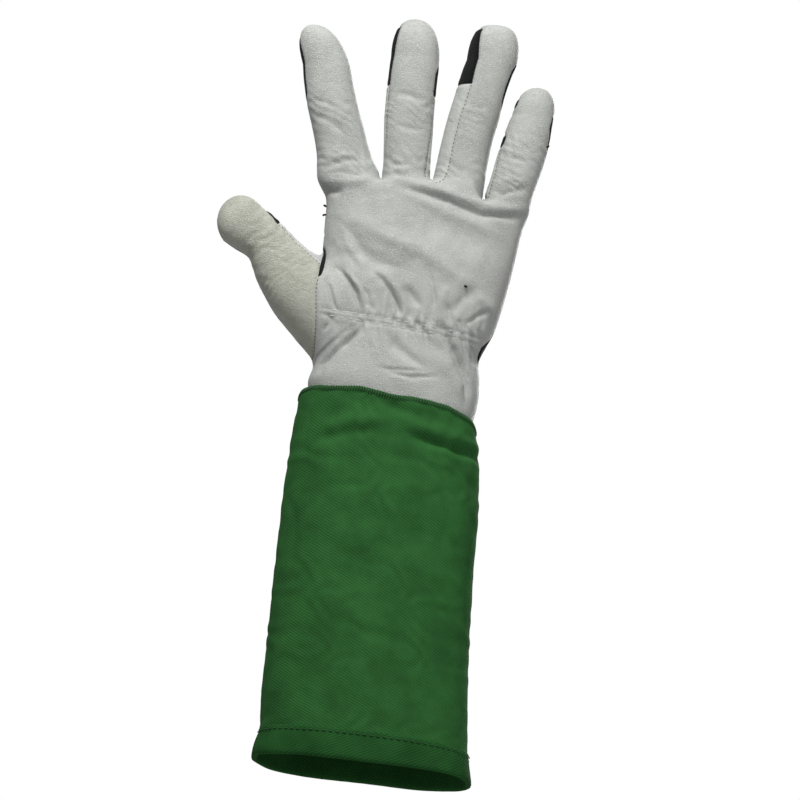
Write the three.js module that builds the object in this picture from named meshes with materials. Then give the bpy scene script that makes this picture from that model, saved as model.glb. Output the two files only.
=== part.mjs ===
// Long-cuffed leather work glove for the left hand, held upright as it is worn, palm towards -Y.
//
// Frame: the origin is the centre of the cuff's mouth, +Z runs up the forearm to the fingertips,
// and +X crosses the palm from the thumb's side to the little finger's side. Millimetres.
//
// Every piece is a thin sheet bent round the hand. A sheet is given by its outer surface, and its
// wall is laid on the inside. Where a joint crosses the glove, the sheets stop at a wedge that is
// open towards the palm, and a soft fold fills the wedge.
import * as THREE from 'three';

// ---- driving dimensions ----
const LEATHER = 1.2;              // wall of the leather panels
const FABRIC = 1.0;               // wall of the stretch fabric
const CLOTH = 1.2;                // wall of the cuff's twill
const HEM_WALL = 2.4;             // the hem is the twill doubled
const GAP = 0.3;                  // clearance between neighbouring pieces
const SEAM_DEGREES = 1.1;         // half the angular gap between panels that are sewn together

const HEM_HEIGHT = 17;            // stitched band round the mouth
const CUFF_TOP = 196;             // height of the cuff's top edge on the centre line
const CUFF_TOP_SLOPE = -0.109;    // the top edge falls towards the little finger
const LEATHER_TUCK = 184;         // the leather runs down inside the cuff to here

const WRIST_Z = 222;              // wrist bend axis
const WRIST_HALF_BEND = 21;       // half of the wrist's largest bend, degrees
const AXIS_Y = -3;                // finger hinges lie a little towards the palm
const BASE_WEDGE = 30;            // wedge above a finger's first hinge, degrees
const MIDDLE_WEDGE = 37.5;        // wedge each side of a finger's second hinge, degrees
const HINGE_HALF_GAP = 1.6;       // half the height of a fold's space at its hinge
const FOLD_GAP = 0.9;             // clearance between a fold and the panels that it joins

const ELASTIC_LOW = 235;          // elastic strip sewn inside the wrist, lower edge
const ELASTIC_HEIGHT = 6;
const THUMB_SEAM_X = -45;         // the thumb's tube starts at this upright plane
const THUMB_LEAN = 45;            // thumb leans this far from upright, degrees
const THUMB_SWING = 40;           // wedge of the thumb's first hinge, degrees
const THUMB_AXIS_Y = -10;         // that hinge lies close to the palm

// Stations are [height, left edge, right edge, half depth].
const HEM = [[0, -56, 57, 40.2], [8, -56.3, 55.6, 39.8], [17, -53.8, 54.2, 38.8]];
const CUFF = [[17, -53.4, 54, 38.5], [35, -54.6, 52.8, 38], [60, -54.5, 51, 37],
  [100, -53.8, 49.5, 35.5], [140, -53, 48.8, 33.8], [170, -51.5, 46.6, 32],
  [188, -50.2, 44.8, 30.6], [204, -46.4, 43.4, 29.8]];
const WRIST = [[184, -43.6, 41.8, 28], [196, -44.2, 42.2, 28], [204, -45.4, 44.2, 28],
  [212, -43.8, 43.6, 26.4], [222, -43, 41.8, 24.2]];
const HAND = [[206, -45, 44, 27.8], [212, -43.8, 43.6, 26.4], [222, -43, 41.8, 24.2],
  [232, -43.2, 45.8, 23.2], [240, -43.4, 49, 22.8], [256, -43.6, 52.6, 22],
  [272, -43.8, 55.4, 20], [288, -44, 57.6, 17.6], [300, -44.2, 59, 15.8],
  [308, -48.5, 61.6, 14.6], [316, -50.4, 63, 13.4]];

const FINGERS = {
  index: {
    crotch: 316, base: 323, middle: 347, roll: 0,
    stations: [[316, -50.4, -17.8, 12.8], [324, -51.5, -22.2, 11.2], [332, -53.2, -25.5, 10.8],
      [340, -55.5, -28.2, 10.7], [352, -59.2, -32.5, 10.6], [364, -62.2, -36.2, 10.4],
      [376, -63.8, -39.2, 9.8], [384, -64, -42, 8.6], [389, -63.6, -45.4, 6.9],
      [393, -61.6, -50.6, 4], [394.6, -58.4, -54.4, 1.6]],
    strips: { right: [-28, 28] },
    upperFront: [-168, 0],
  },
  middle: {
    crotch: 316, base: 325, middle: 350, roll: 0,
    stations: [[316, -16.8, 8.2, 12.8], [324, -16.6, 8, 11.4], [340, -17.8, 7.8, 11],
      [352, -18.4, 7.3, 10.9], [376, -18, 7.7, 10.4], [388, -16.4, 7.6, 9],
      [396, -14.6, 4, 6.4], [400, -12, -1.6, 3.6], [402, -9.2, -5.2, 1.6]],
    strips: { right: [-28, 28], left: [152, 208] },
    upperFront: [-166, 0],
  },
  ring: {
    crotch: 316, base: 325, middle: 350, roll: 24,
    stations: [[316, 9.6, 37, 12.6], [324, 10.8, 37.2, 11.2], [340, 13, 39, 10.8],
      [352, 15, 41.4, 10.7], [364, 17.6, 43.3, 10.5], [376, 20, 46.2, 10.2],
      [384, 22.4, 48.6, 9.6], [392, 24.6, 48.6, 8], [398, 27, 45.6, 5.6],
      [401, 30.4, 42, 3.2], [402.4, 34.2, 38.2, 1.6]],
    strips: { right: [-28, 28], left: [152, 220] },
    upperFront: [-140, -28],
  },
  little: {
    crotch: 311, base: 319, middle: 338, roll: 6,
    stations: [[311, 37.9, 62, 12.2], [320, 39.8, 64.2, 10.8], [332, 42.2, 67.2, 10.2],
      [344, 45, 69, 9.8], [352, 47.2, 69.4, 9.4], [360, 50.6, 70, 8.2],
      [366, 53.2, 69, 6.2], [369.4, 56.4, 66.6, 3.8], [371, 59.6, 63.6, 1.6]],
    strips: { left: [152, 208] },
    upperFront: [-180, -20],
  },
};

// Thumb stations run along its own axis: [distance, lower edge, upper edge, half depth].
const THUMB_ORIGIN = [THUMB_SEAM_X, 0, 246];
const THUMB_BASE = { low: 219, high: 271, halfDepth: 19.5 };
const THUMB_BLEND = 26;           // distance at which the tube has turned square to its axis
const THUMB_MIDDLE = 42;          // second hinge, distance along the thumb
const THUMB_MIDDLE_WEDGE = 35;
const THUMB = [[26, -15.6, 14.8, 13.2], [38, -12.9, 14.2, 11.6], [46, -13.2, 13.6, 11.4],
  [57, -14.8, 12, 10.8], [64, -11.2, 10.2, 8.6], [68.6, -6.4, 7.4, 5], [70.6, -1.8, 2.8, 1.8]];

// ---- materials ----
const material = (color, roughness) => () =>
  new THREE.MeshStandardMaterial({ color, roughness, metalness: 0, side: THREE.DoubleSide });
const greyLeather = material(0xbbbdb8, 0.62);
const creamLeather = material(0xa6a79b, 0.66);
const blackFabric = material(0x141416, 0.9);
const greenTwill = material(0x2c5a2d, 0.85);
const greenHem = material(0x1f4621, 0.85);
const elasticWeb = material(0xd8d8d2, 0.8);

// ---- helpers ----
const rad = THREE.MathUtils.degToRad;
const lerp = THREE.MathUtils.lerp;
const smooth = THREE.MathUtils.smoothstep;
const tan = (degrees) => Math.tan(rad(degrees));

// Catmull-Rom value of each station column at height z, held level past the ends.
function stationAt(stations, z) {
  const last = stations.length - 1;
  const at = THREE.MathUtils.clamp(z, stations[0][0], stations[last][0]);
  let i = 0;
  while (i < last - 1 && stations[i + 1][0] < at) i += 1;
  const [a, b] = [stations[i], stations[i + 1]];
  const before = stations[Math.max(i - 1, 0)];
  const after = stations[Math.min(i + 2, last)];
  const span = b[0] - a[0];
  const t = (at - a[0]) / span;
  return [1, 2, 3].map((k) => {
    const m0 = ((b[k] - before[k]) / (b[0] - before[0])) * span;
    const m1 = ((after[k] - a[k]) / (after[0] - a[0])) * span;
    const t2 = t * t;
    const t3 = t2 * t;
    return (2 * t3 - 3 * t2 + 1) * a[k] + (t3 - 2 * t2 + t) * m0
      + (3 * t2 - 2 * t3) * b[k] + (t3 - t2) * m1;
  });
}

// Point at an angle round a flattened oval; 0 degrees is +X and -90 degrees is the palm side.
function oval(halfWidth, halfDepth, degrees, squareness = 2.4) {
  const c = Math.cos(rad(degrees));
  const s = Math.sin(rad(degrees));
  const power = 2 / squareness;
  return [halfWidth * Math.sign(c) * Math.abs(c) ** power,
    halfDepth * Math.sign(s) * Math.abs(s) ** power];
}

// Outer surface of an upright tube described by stations.
function uprightTube(stations) {
  return (degrees, z) => {
    const [left, right, halfDepth] = stationAt(stations, z);
    const [x, y] = oval((right - left) / 2, halfDepth, degrees);
    return new THREE.Vector3((left + right) / 2 + x, y, z);
  };
}

// A wall laid inside the surface grid(u, v), where u goes round (0..1) and v goes along (0..1).
// A closed sheet meets itself round u, and an open one gets edge faces on both sides.
function sheet(grid, { round, along, wall, closed = false }) {
  const step = 1e-3;
  const columns = closed ? round : round + 1;
  const outer = [];
  const inner = [];
  for (let j = 0; j <= along; j += 1) {
    for (let i = 0; i < columns; i += 1) {
      const u = i / round;
      const v = j / along;
      const [u0, u1] = closed ? [u - step, u + step] : [Math.max(u - step, 0), Math.min(u + step, 1)];
      const [v0, v1] = [Math.max(v - step, 0), Math.min(v + step, 1)];
      const point = grid(u, v);
      const normal = grid(u1, v).sub(grid(u0, v)).cross(grid(u, v1).sub(grid(u, v0))).normalize();
      outer.push(point);
      inner.push(point.clone().addScaledVector(normal, -wall));
    }
  }
  const offset = outer.length;
  const at = (i, j) => j * columns + (i % columns);
  const faces = [];
  const quad = (a, b, c, d) => faces.push(a, b, c, a, c, d);
  for (let j = 0; j < along; j += 1) {
    for (let i = 0; i < round; i += 1) {
      const [a, b, c, d] = [at(i, j), at(i + 1, j), at(i + 1, j + 1), at(i, j + 1)];
      quad(a, b, c, d);
      quad(offset + d, offset + c, offset + b, offset + a);
    }
  }
  for (let i = 0; i < round; i += 1) {
    quad(offset + at(i, 0), offset + at(i + 1, 0), at(i + 1, 0), at(i, 0));
    quad(at(i, along), at(i + 1, along), offset + at(i + 1, along), offset + at(i, along));
  }
  if (!closed) {
    for (let j = 0; j < along; j += 1) {
      quad(at(0, j), at(0, j + 1), offset + at(0, j + 1), offset + at(0, j));
      quad(offset + at(round, j), offset + at(round, j + 1), at(round, j + 1), at(round, j));
    }
  }
  const geometry = new THREE.BufferGeometry();
  const positions = [...outer, ...inner].flatMap((p) => [p.x, p.y, p.z]);
  geometry.setAttribute('position', new THREE.Float32BufferAttribute(positions, 3));
  geometry.setIndex(faces);
  geometry.computeVertexNormals();
  return geometry;
}

// A panel of a tube between two angles and two end curves; the ends are functions of the angle.
function panel(tube, from, to, start, end, options) {
  const grid = (u, v) => {
    const degrees = lerp(from, to, u);
    return tube(degrees, lerp(start(degrees), end(degrees), v));
  };
  return sheet(grid, options);
}

const glove = new THREE.Group();
function add(name, geometry, finish) {
  const mesh = new THREE.Mesh(geometry, finish());
  mesh.name = name;
  glove.add(mesh);
}

// An end curve: flat at `height`, with a wedge that opens towards the palm and towards the back.
function wedgeEnd(tube, height, side, palmDegrees, backDegrees, axisY, halfGap) {
  return (degrees) => {
    const { y } = tube(degrees, height);
    const slope = y < axisY ? tan(palmDegrees) : tan(backDegrees);
    return height + side * (halfGap + Math.abs(y - axisY) * slope);
  };
}
const flat = (z) => () => z;

// ---- cuff ----
function addCuff() {
  const cuff = uprightTube(CUFF);
  const topEdge = (degrees) => CUFF_TOP + CUFF_TOP_SLOPE * cuff(degrees, CUFF_TOP).x;
  const low = flat(HEM_HEIGHT + GAP);
  const size = { round: 16, along: 8, wall: CLOTH };
  add('cuff_front_panel', panel(cuff, -180 + SEAM_DEGREES / 2, -SEAM_DEGREES / 2, low, topEdge, size),
    greenTwill);
  add('cuff_back_panel', panel(cuff, SEAM_DEGREES / 2, 180 - SEAM_DEGREES / 2, low, topEdge, size),
    greenTwill);
  add('cuff_hem', panel(uprightTube(HEM), 0, 360, flat(0), flat(HEM_HEIGHT),
    { round: 32, along: 2, wall: HEM_WALL, closed: true }), greenHem);
}

// ---- wrist ----
function addWrist() {
  const wrist = uprightTube(WRIST);
  const hand = uprightTube(HAND);
  const end = wedgeEnd(wrist, WRIST_Z, -1, WRIST_HALF_BEND, WRIST_HALF_BEND, 0, HINGE_HALF_GAP);
  add('wrist_leather', panel(wrist, -196, 16, flat(LEATHER_TUCK), end,
    { round: 16, along: 4, wall: LEATHER }), greyLeather);
  add('wrist_back_fabric', panel(wrist, 16 + 2 * SEAM_DEGREES, 164 - 2 * SEAM_DEGREES,
    flat(LEATHER_TUCK), end, { round: 12, along: 4, wall: FABRIC }), blackFabric);
  const foldEnd = (side) =>
    wedgeEnd(hand, WRIST_Z, side, WRIST_HALF_BEND, WRIST_HALF_BEND, 0, HINGE_HALF_GAP - FOLD_GAP);
  add('wrist_leather_fold', panel(hand, -180, 0, foldEnd(-1), foldEnd(1),
    { round: 12, along: 2, wall: LEATHER }), greyLeather);
  add('wrist_fabric_fold', panel(hand, 2 * SEAM_DEGREES, 180 - 2 * SEAM_DEGREES,
    foldEnd(-1), foldEnd(1), { round: 12, along: 2, wall: FABRIC }), blackFabric);
}

// ---- hand ----
function addHand() {
  const hand = uprightTube(HAND);
  const start = wedgeEnd(hand, WRIST_Z, 1, WRIST_HALF_BEND, WRIST_HALF_BEND, 0, HINGE_HALF_GAP);
  const { index, little } = FINGERS;
  const top = (degrees) => {
    const { x } = hand(degrees, index.crotch);
    return lerp(index.crotch, little.crotch, smooth(x, 36, 39)) - GAP;
  };
  // The thumb's opening is cut from the left edges of both panels, below the thumb's crotch.
  const opening = (z) => 22 * (1 - smooth(z, THUMB_BASE.high - 4, THUMB_BASE.high + 8));
  const handPanel = (left, right, side) => {
    const grid = (u, v) => {
      const degreesAt = (z) => lerp(left + side * opening(z), right, u);
      const [low, high] = [start(degreesAt(WRIST_Z)), top(degreesAt(index.crotch))];
      const z = lerp(low, high, v);
      return hand(degreesAt(z), z);
    };
    return grid;
  };
  add('palm_leather', sheet(handPanel(-180, 0, 1), { round: 16, along: 9, wall: LEATHER }),
    greyLeather);
  const back = handPanel(180 - 2 * SEAM_DEGREES, 2 * SEAM_DEGREES, -1);
  add('back_fabric', sheet((u, v) => back(1 - u, v), { round: 16, along: 9, wall: FABRIC }), blackFabric);

  const inset = LEATHER + GAP;
  const inside = uprightTube(HAND.map(([z, left, right, depth]) =>
    [z, left + inset, right - inset, depth - inset]));
  add('wrist_elastic', panel(inside, -146, -30, flat(ELASTIC_LOW), flat(ELASTIC_LOW + ELASTIC_HEIGHT),
    { round: 12, along: 1, wall: 0.9 }), elasticWeb);
}

// ---- fingers ----
// A finger has a lower and an upper part. Angles turn with the finger's roll, so that the seam
// between its front and its side strip lies where the stitching runs.
function addFinger(name, { crotch, base, middle, roll, stations, strips, upperFront }) {
  const round = uprightTube(stations);
  const tube = (degrees, z) => round(degrees + roll * smooth(z, crotch, middle), z);
  const tip = flat(stations[stations.length - 1][0]);
  const front = [strips.left ? strips.left[1] - 360 : -180, strips.right ? strips.right[0] : 0];
  const back = [strips.right ? strips.right[1] : 0, strips.left ? strips.left[0] : 180];
  const s = SEAM_DEGREES;

  const lowerStart = wedgeEnd(tube, base, 1, BASE_WEDGE, 0, AXIS_Y, HINGE_HALF_GAP);
  const lowerEnd = wedgeEnd(tube, middle, -1, MIDDLE_WEDGE, 0, AXIS_Y, HINGE_HALF_GAP);
  const upperStart = wedgeEnd(tube, middle, 1, MIDDLE_WEDGE, 0, AXIS_Y, HINGE_HALF_GAP);
  const nearer = (end, offset) => (degrees) => end(degrees) + offset;
  const part = (suffix, from, to, start, end, roundSteps, along, wall, finish) =>
    add(`${name}_${suffix}`, panel(tube, from, to, start, end, { round: roundSteps, along, wall }), finish);

  const foldSize = { round: 24, along: 2, wall: LEATHER, closed: true };
  add(`${name}_base_fold`, panel(tube, 0, 360, flat(crotch), nearer(lowerStart, -FOLD_GAP), foldSize),
    greyLeather);
  part('lower_front', front[0] + s, front[1] - s, lowerStart, lowerEnd, 8, 2, LEATHER, greyLeather);
  part('lower_back', back[0] + s, back[1] - s, lowerStart, lowerEnd, 8, 3, FABRIC, blackFabric);
  Object.entries(strips).forEach(([side, [from, to]]) => {
    part(`lower_${side}_strip`, from + s, to - s, lowerStart, lowerEnd, 4, 3, LEATHER, greyLeather);
  });
  const foldEnds = [nearer(lowerEnd, FOLD_GAP), nearer(upperStart, -FOLD_GAP)];
  add(`${name}_middle_fold`, panel(tube, 0, 360, ...foldEnds, foldSize), greyLeather);
  const [left, right] = upperFront;
  part('upper_front', left + s, right - s, upperStart, tip, 8, 8, LEATHER, greyLeather);
  part('upper_back', right + s, left + 360 - s, upperStart, tip, 8, 8, FABRIC, blackFabric);
}

// ---- thumb ----
// Its rings turn from the upright seam plane until they are square to the thumb's own axis.
function thumbTube() {
  const lean = rad(THUMB_LEAN);
  const along = new THREE.Vector3(-Math.sin(lean), 0, Math.cos(lean));
  const across = new THREE.Vector3(Math.cos(lean), 0, Math.sin(lean));
  const origin = new THREE.Vector3(...THUMB_ORIGIN);
  const square = (degrees, distance) => {
    const [low, high, halfDepth] = stationAt(THUMB, distance);
    const [x, y] = oval((high - low) / 2, halfDepth, degrees);
    return origin.clone().addScaledVector(along, distance)
      .addScaledVector(across, (low + high) / 2 + x).add(new THREE.Vector3(0, y, 0));
  };
  const seam = (degrees) => {
    const { low, high, halfDepth } = THUMB_BASE;
    const [x, y] = oval((high - low) / 2, halfDepth, degrees);
    return new THREE.Vector3(THUMB_SEAM_X - GAP, y, (low + high) / 2 + x);
  };
  return (degrees, distance) => {
    const ring = square(degrees, Math.max(distance, THUMB_BLEND));
    if (distance >= THUMB_BLEND) return ring;
    const t = distance / THUMB_BLEND;
    const swell = 4 * Math.sin(Math.PI * t) * Math.max(-Math.cos(rad(degrees)), 0);
    return seam(degrees).lerp(ring, t).addScaledVector(across, -swell);
  };
}

function addThumb() {
  const tube = thumbTube();
  const s = SEAM_DEGREES;
  // The swing wedge: the lower part starts where it clears the palm's edge at full swing.
  const swingStart = (degrees) => {
    let distance = 0;
    const clear = () => {
      const p = tube(degrees, distance);
      const reach = Math.max(THUMB_AXIS_Y - p.y, 0) * tan(THUMB_SWING);
      return THUMB_SEAM_X - p.x > HINGE_HALF_GAP + reach;
    };
    while (!clear() && distance < THUMB_BLEND) distance += 0.1;
    return distance;
  };
  const hinge = (side) => wedgeEnd(tube, THUMB_MIDDLE, side, THUMB_MIDDLE_WEDGE, 0, AXIS_Y, HINGE_HALF_GAP);
  const [lowerEnd, upperStart] = [hinge(-1), hinge(1)];
  const nearer = (end, offset) => (degrees) => end(degrees) + offset;
  const tip = flat(THUMB[THUMB.length - 1][0]);
  const part = (suffix, from, to, start, end, round, along, wall, finish) =>
    add(`thumb_${suffix}`, panel(tube, from, to, start, end, { round, along, wall }), finish);

  const foldSize = { round: 20, along: 3, wall: LEATHER, closed: true };
  const foldEnd = nearer(swingStart, -2 * FOLD_GAP);
  add('thumb_base_fold', panel(tube, 0, 360, flat(0), foldEnd, foldSize), creamLeather);
  part('lower_front', -180 + s, -14 - s, swingStart, lowerEnd, 10, 5, LEATHER, creamLeather);
  part('lower_strip', -14 + s, 30 - s, swingStart, lowerEnd, 4, 5, LEATHER, greyLeather);
  part('lower_back', 30 + s, 180 - s, swingStart, lowerEnd, 10, 5, FABRIC, blackFabric);
  add('thumb_middle_fold', panel(tube, 0, 360, nearer(lowerEnd, FOLD_GAP), nearer(upperStart, -FOLD_GAP),
    { round: 24, along: 2, wall: LEATHER, closed: true }), creamLeather);
  part('upper_front', -180 + s, -s, upperStart, tip, 8, 7, LEATHER, creamLeather);
  part('upper_back', s, 180 - s, upperStart, tip, 8, 7, FABRIC, blackFabric);
}

addCuff();
addWrist();
addHand();
Object.entries(FINGERS).forEach(([name, finger]) => addFinger(name, finger));
addThumb();

export default glove;
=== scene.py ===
"""Looks of a left-hand leather work glove with a long cloth cuff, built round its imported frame."""
import logging
import math
from dataclasses import dataclass, field
from enum import Enum
from typing import Callable, Sequence

import bpy
import numpy as np
from mathutils import Matrix, Vector
from mathutils.kdtree import KDTree


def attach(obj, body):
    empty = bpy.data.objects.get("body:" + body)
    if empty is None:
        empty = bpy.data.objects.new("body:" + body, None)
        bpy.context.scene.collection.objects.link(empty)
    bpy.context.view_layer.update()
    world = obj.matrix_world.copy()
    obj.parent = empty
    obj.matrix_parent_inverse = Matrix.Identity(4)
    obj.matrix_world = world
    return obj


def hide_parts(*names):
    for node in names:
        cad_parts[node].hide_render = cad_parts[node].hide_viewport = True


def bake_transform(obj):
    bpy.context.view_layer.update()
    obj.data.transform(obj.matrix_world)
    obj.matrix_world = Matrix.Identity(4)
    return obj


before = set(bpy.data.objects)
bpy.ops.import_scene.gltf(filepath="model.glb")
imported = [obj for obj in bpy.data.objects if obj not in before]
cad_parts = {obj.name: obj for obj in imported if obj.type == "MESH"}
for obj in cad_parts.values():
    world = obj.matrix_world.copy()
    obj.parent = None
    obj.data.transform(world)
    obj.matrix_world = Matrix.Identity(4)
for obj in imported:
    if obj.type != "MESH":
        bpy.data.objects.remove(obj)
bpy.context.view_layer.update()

log = logging.getLogger("glove")
MM = 0.001
LEATHER_WALL, KNIT_WALL, TWILL_WALL = 1.2, 1.0, 1.2
Array = np.ndarray
Field = Callable[[Array], Array]
Socket = bpy.types.NodeSocket
Value = float | tuple[float, ...] | Socket


class Slot(Enum):
    """Material slots of the record."""

    LEATHER = "grey_leather"
    THUMB = "thumb_leather"
    FABRIC = "black_fabric"
    TWILL = "cuff_twill"
    HEM = "cuff_hem_twill"
    ELASTIC = "elastic"


class Sheet(Enum):
    """What a stretch of the hand's skin is cut from."""

    FRONT = "front"
    STRIP = "strip"
    BACK = "back"


# ---------------------------------------------------------------- small maths


def smoothstep(x: Array, low: float, high: float) -> Array:
    """Ramp from 0 at low to 1 at high.

    Args:
        x: Values to ramp.
        low: Value that gives 0.
        high: Value that gives 1.

    Returns:
        The ramped values.
    """
    t = np.clip((x - low) / (high - low), 0.0, 1.0)
    return t * t * (3.0 - 2.0 * t)


def soft_min(a: Array, b: Array, k: float) -> Array:
    """Smaller of two fields, with a fillet of about k where they cross.

    Args:
        a: First field.
        b: Second field.
        k: Size of the fillet.

    Returns:
        The blended field.
    """
    h = np.clip(0.5 + 0.5 * (b - a) / k, 0.0, 1.0)
    return b + (a - b) * h - k * h * (1.0 - h)


def bell(x: Array, width: float) -> Array:
    """Gaussian bump of height 1 and the given half width."""
    return np.exp(-((x / width) ** 2))


def wander(x: Array, seed: float) -> Array:
    """Smooth wavering value between about -1 and 1, the same on each run.

    Args:
        x: Position along the line, one unit for each slow waver.
        seed: Shifts the pattern.

    Returns:
        The wavering values.
    """
    return (
        np.sin(x * 2.1 + seed * 1.7) + np.sin(x * 3.7 + seed * 4.1) * 0.6 + np.sin(x * 6.1 + seed * 2.3) * 0.3
    ) / 1.9


@dataclass(frozen=True)
class Stations:
    """Rows of (height, value, ...) that a smooth curve passes through."""

    rows: tuple[tuple[float, ...], ...]

    def at(self, height: Array) -> list[Array]:
        """Smooth value of each column.

        Args:
            height: Heights to look up, held level past both ends.

        Returns:
            One array for each column after the first.
        """
        table = np.array(self.rows, float)
        z = table[:, 0]
        last = len(z) - 1
        h = np.clip(height, z[0], z[-1])
        i = np.clip(np.searchsorted(z, h, side="right") - 1, 0, last - 1)
        before, after = np.maximum(i - 1, 0), np.minimum(i + 2, last)
        span = z[i + 1] - z[i]
        t = (h - z[i]) / span
        t2, t3 = t * t, t * t * t
        out = []
        for column in table[:, 1:].T:
            a, b = column[i], column[i + 1]
            m0 = (b - column[before]) / (z[i + 1] - z[before]) * span
            m1 = (column[after] - a) / (z[after] - z[i]) * span
            start = (2 * t3 - 3 * t2 + 1) * a + (t3 - 2 * t2 + t) * m0
            out.append(start + (3 * t2 - 2 * t3) * b + (t3 - t2) * m1)
        return out


# ---------------------------------------------------------------- tubes of the hand


@dataclass(frozen=True)
class Tube:
    """A flattened tube along its own height axis, closed by a rounded tip.

    Stations are (height, low edge, high edge, half depth). The tip starts at the last station.
    """

    stations: Stations
    tip: float
    lean: float = 0.0
    squareness: float = 2.4
    roundness: float = 2.1

    def _local(self, across: Array, height: Array) -> tuple[Array, Array, Array, Array]:
        """Offset across, half width, half depth and share of the tip at each point.

        Args:
            across: Positions across the tube.
            height: Positions along it.

        Returns:
            The four values.
        """
        low, high, depth = self.stations.at(height)
        start = self.stations.rows[-1][0]
        over = np.maximum(height - start, 0.0)
        dx = across - (low + high) / 2 - self.lean * over
        return dx, (high - low) / 2, depth, over / (self.tip - start)

    def value(self, across: Array, y: Array, height: Array) -> Array:
        """Signed distance to the tube, negative inside.

        Args:
            across: Positions across the tube.
            y: Positions front to back.
            height: Positions along the tube.

        Returns:
            Signed distances in millimetres, exact on the surface.
        """
        dx, half, depth, share = self._local(across, height)
        n, m = self.squareness, self.roundness
        around = (np.abs(dx / half) ** n + np.abs(y / depth) ** n) ** (1 / n)
        ratio = np.maximum((around**m + share**m) ** (1 / m), 1e-3)
        reach = np.sqrt(dx**2 + y**2 + (share * (self.tip - self.stations.rows[-1][0])) ** 2) + 1e-6
        body = reach - reach / ratio
        return np.maximum(body, self.stations.rows[0][0] - height)

    def turn(self, across: Array, y: Array, height: Array) -> Array:
        """Angle round the tube in degrees: 0 faces the palm side, 90 the high edge.

        Args:
            across: Positions across the tube.
            y: Positions front to back.
            height: Positions along the tube.

        Returns:
            The angles.
        """
        dx, half, depth, _ = self._local(across, height)
        power = self.squareness / 2
        u = np.sign(dx) * np.abs(dx / half) ** power
        v = np.sign(y) * np.abs(y / depth) ** power
        return np.degrees(np.arctan2(u, -v))


@dataclass(frozen=True)
class SeamLine:
    """Angle of a seam round a tube, as (height, degrees) points."""

    points: tuple[tuple[float, float], ...]

    def at(self, height: Array) -> Array:
        """Seam angle at each height."""
        table = np.array(self.points)
        return np.interp(height, table[:, 0], table[:, 1])


@dataclass(frozen=True)
class Finger:
    """One finger of the glove: its tube, its seams and where it bends."""

    name: str
    tube: Tube
    crotch: float
    front_low: SeamLine
    front_high: SeamLine
    back_low: SeamLine
    back_high: SeamLine
    strip_ends: tuple[float, float]
    wrap: float
    fork: tuple[float, float, float] | None = None
    thumb: bool = False

    def place(self, p: Array) -> tuple[Array, Array, Array]:
        """Own coordinates (across, y, height) of points.

        Args:
            p: Points in millimetres.

        Returns:
            Arrays across, y and height.
        """
        if not self.thumb:
            return p[..., 0], p[..., 1], p[..., 2]
        x, z = p[..., 0] - THUMB_ROOT[0], p[..., 2] - THUMB_ROOT[1]
        c, s = math.cos(THUMB_LEAN), math.sin(THUMB_LEAN)
        return x * c + z * s, p[..., 1], z * c - x * s

    def value(self, p: Array) -> Array:
        """Signed distance to the finger."""
        return self.tube.value(*self.place(p))

    def front(self, p: Array) -> Array:
        """Positive on the leather front, in millimetres from its seams.

        Args:
            p: Points in millimetres.

        Returns:
            Signed distances.
        """
        across, y, height = self.place(p)
        turn = self.tube.turn(across, y, height)
        inside = np.minimum(self.front_high.at(height) - turn, turn - self.front_low.at(height))
        leather = np.maximum(inside * ARC, height - (self.tube.tip - self.wrap))
        if self.fork is None:
            return leather
        return np.maximum(leather, self.outside_fork(p, -p[..., 1]))

    def back(self, p: Array) -> Array:
        """Positive on the fabric back, in millimetres from its seams.

        Args:
            p: Points in millimetres.

        Returns:
            Signed distances.
        """
        across, y, height = self.place(p)
        turn = self.tube.turn(across, y, height)
        high, low = turn - self.back_high.at(height), self.back_low.at(height) - turn
        low_end, high_end = self.strip_ends
        above = np.where(turn > 0, height - high_end, height - low_end)
        knit = np.maximum(np.maximum(high, low) * ARC, above)
        return knit if self.fork is None else np.maximum(knit, self.outside_fork(p, p[..., 1]))

    def outside_fork(self, p: Array, side: Array) -> Array:
        """Positive outside the round end of the fork strips, on the side where side is positive.

        Args:
            p: Points in millimetres.
            side: Depth of each point on the wanted side.

        Returns:
            Signed distances.
        """
        x, z, radius = self.fork
        below = np.where(p[..., 2] < z, np.hypot(p[..., 0] - x, p[..., 2] - z) - radius, z - p[..., 2])
        return np.minimum(below, side - 2.0)


ARC = math.radians(1.0) * 11.5      # millimetres along a finger's skin for each degree
THUMB_ROOT = (-45.0, 246.0)
THUMB_LEAN = math.radians(45.0)
FORK = (11.0, 318.8, 5.3)


def seam(*points: tuple[float, float]) -> SeamLine:
    """Short form of a seam line."""
    return SeamLine(points)


def straight(degrees: float) -> SeamLine:
    """Seam line at one angle."""
    return SeamLine(((0.0, degrees),))


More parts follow.
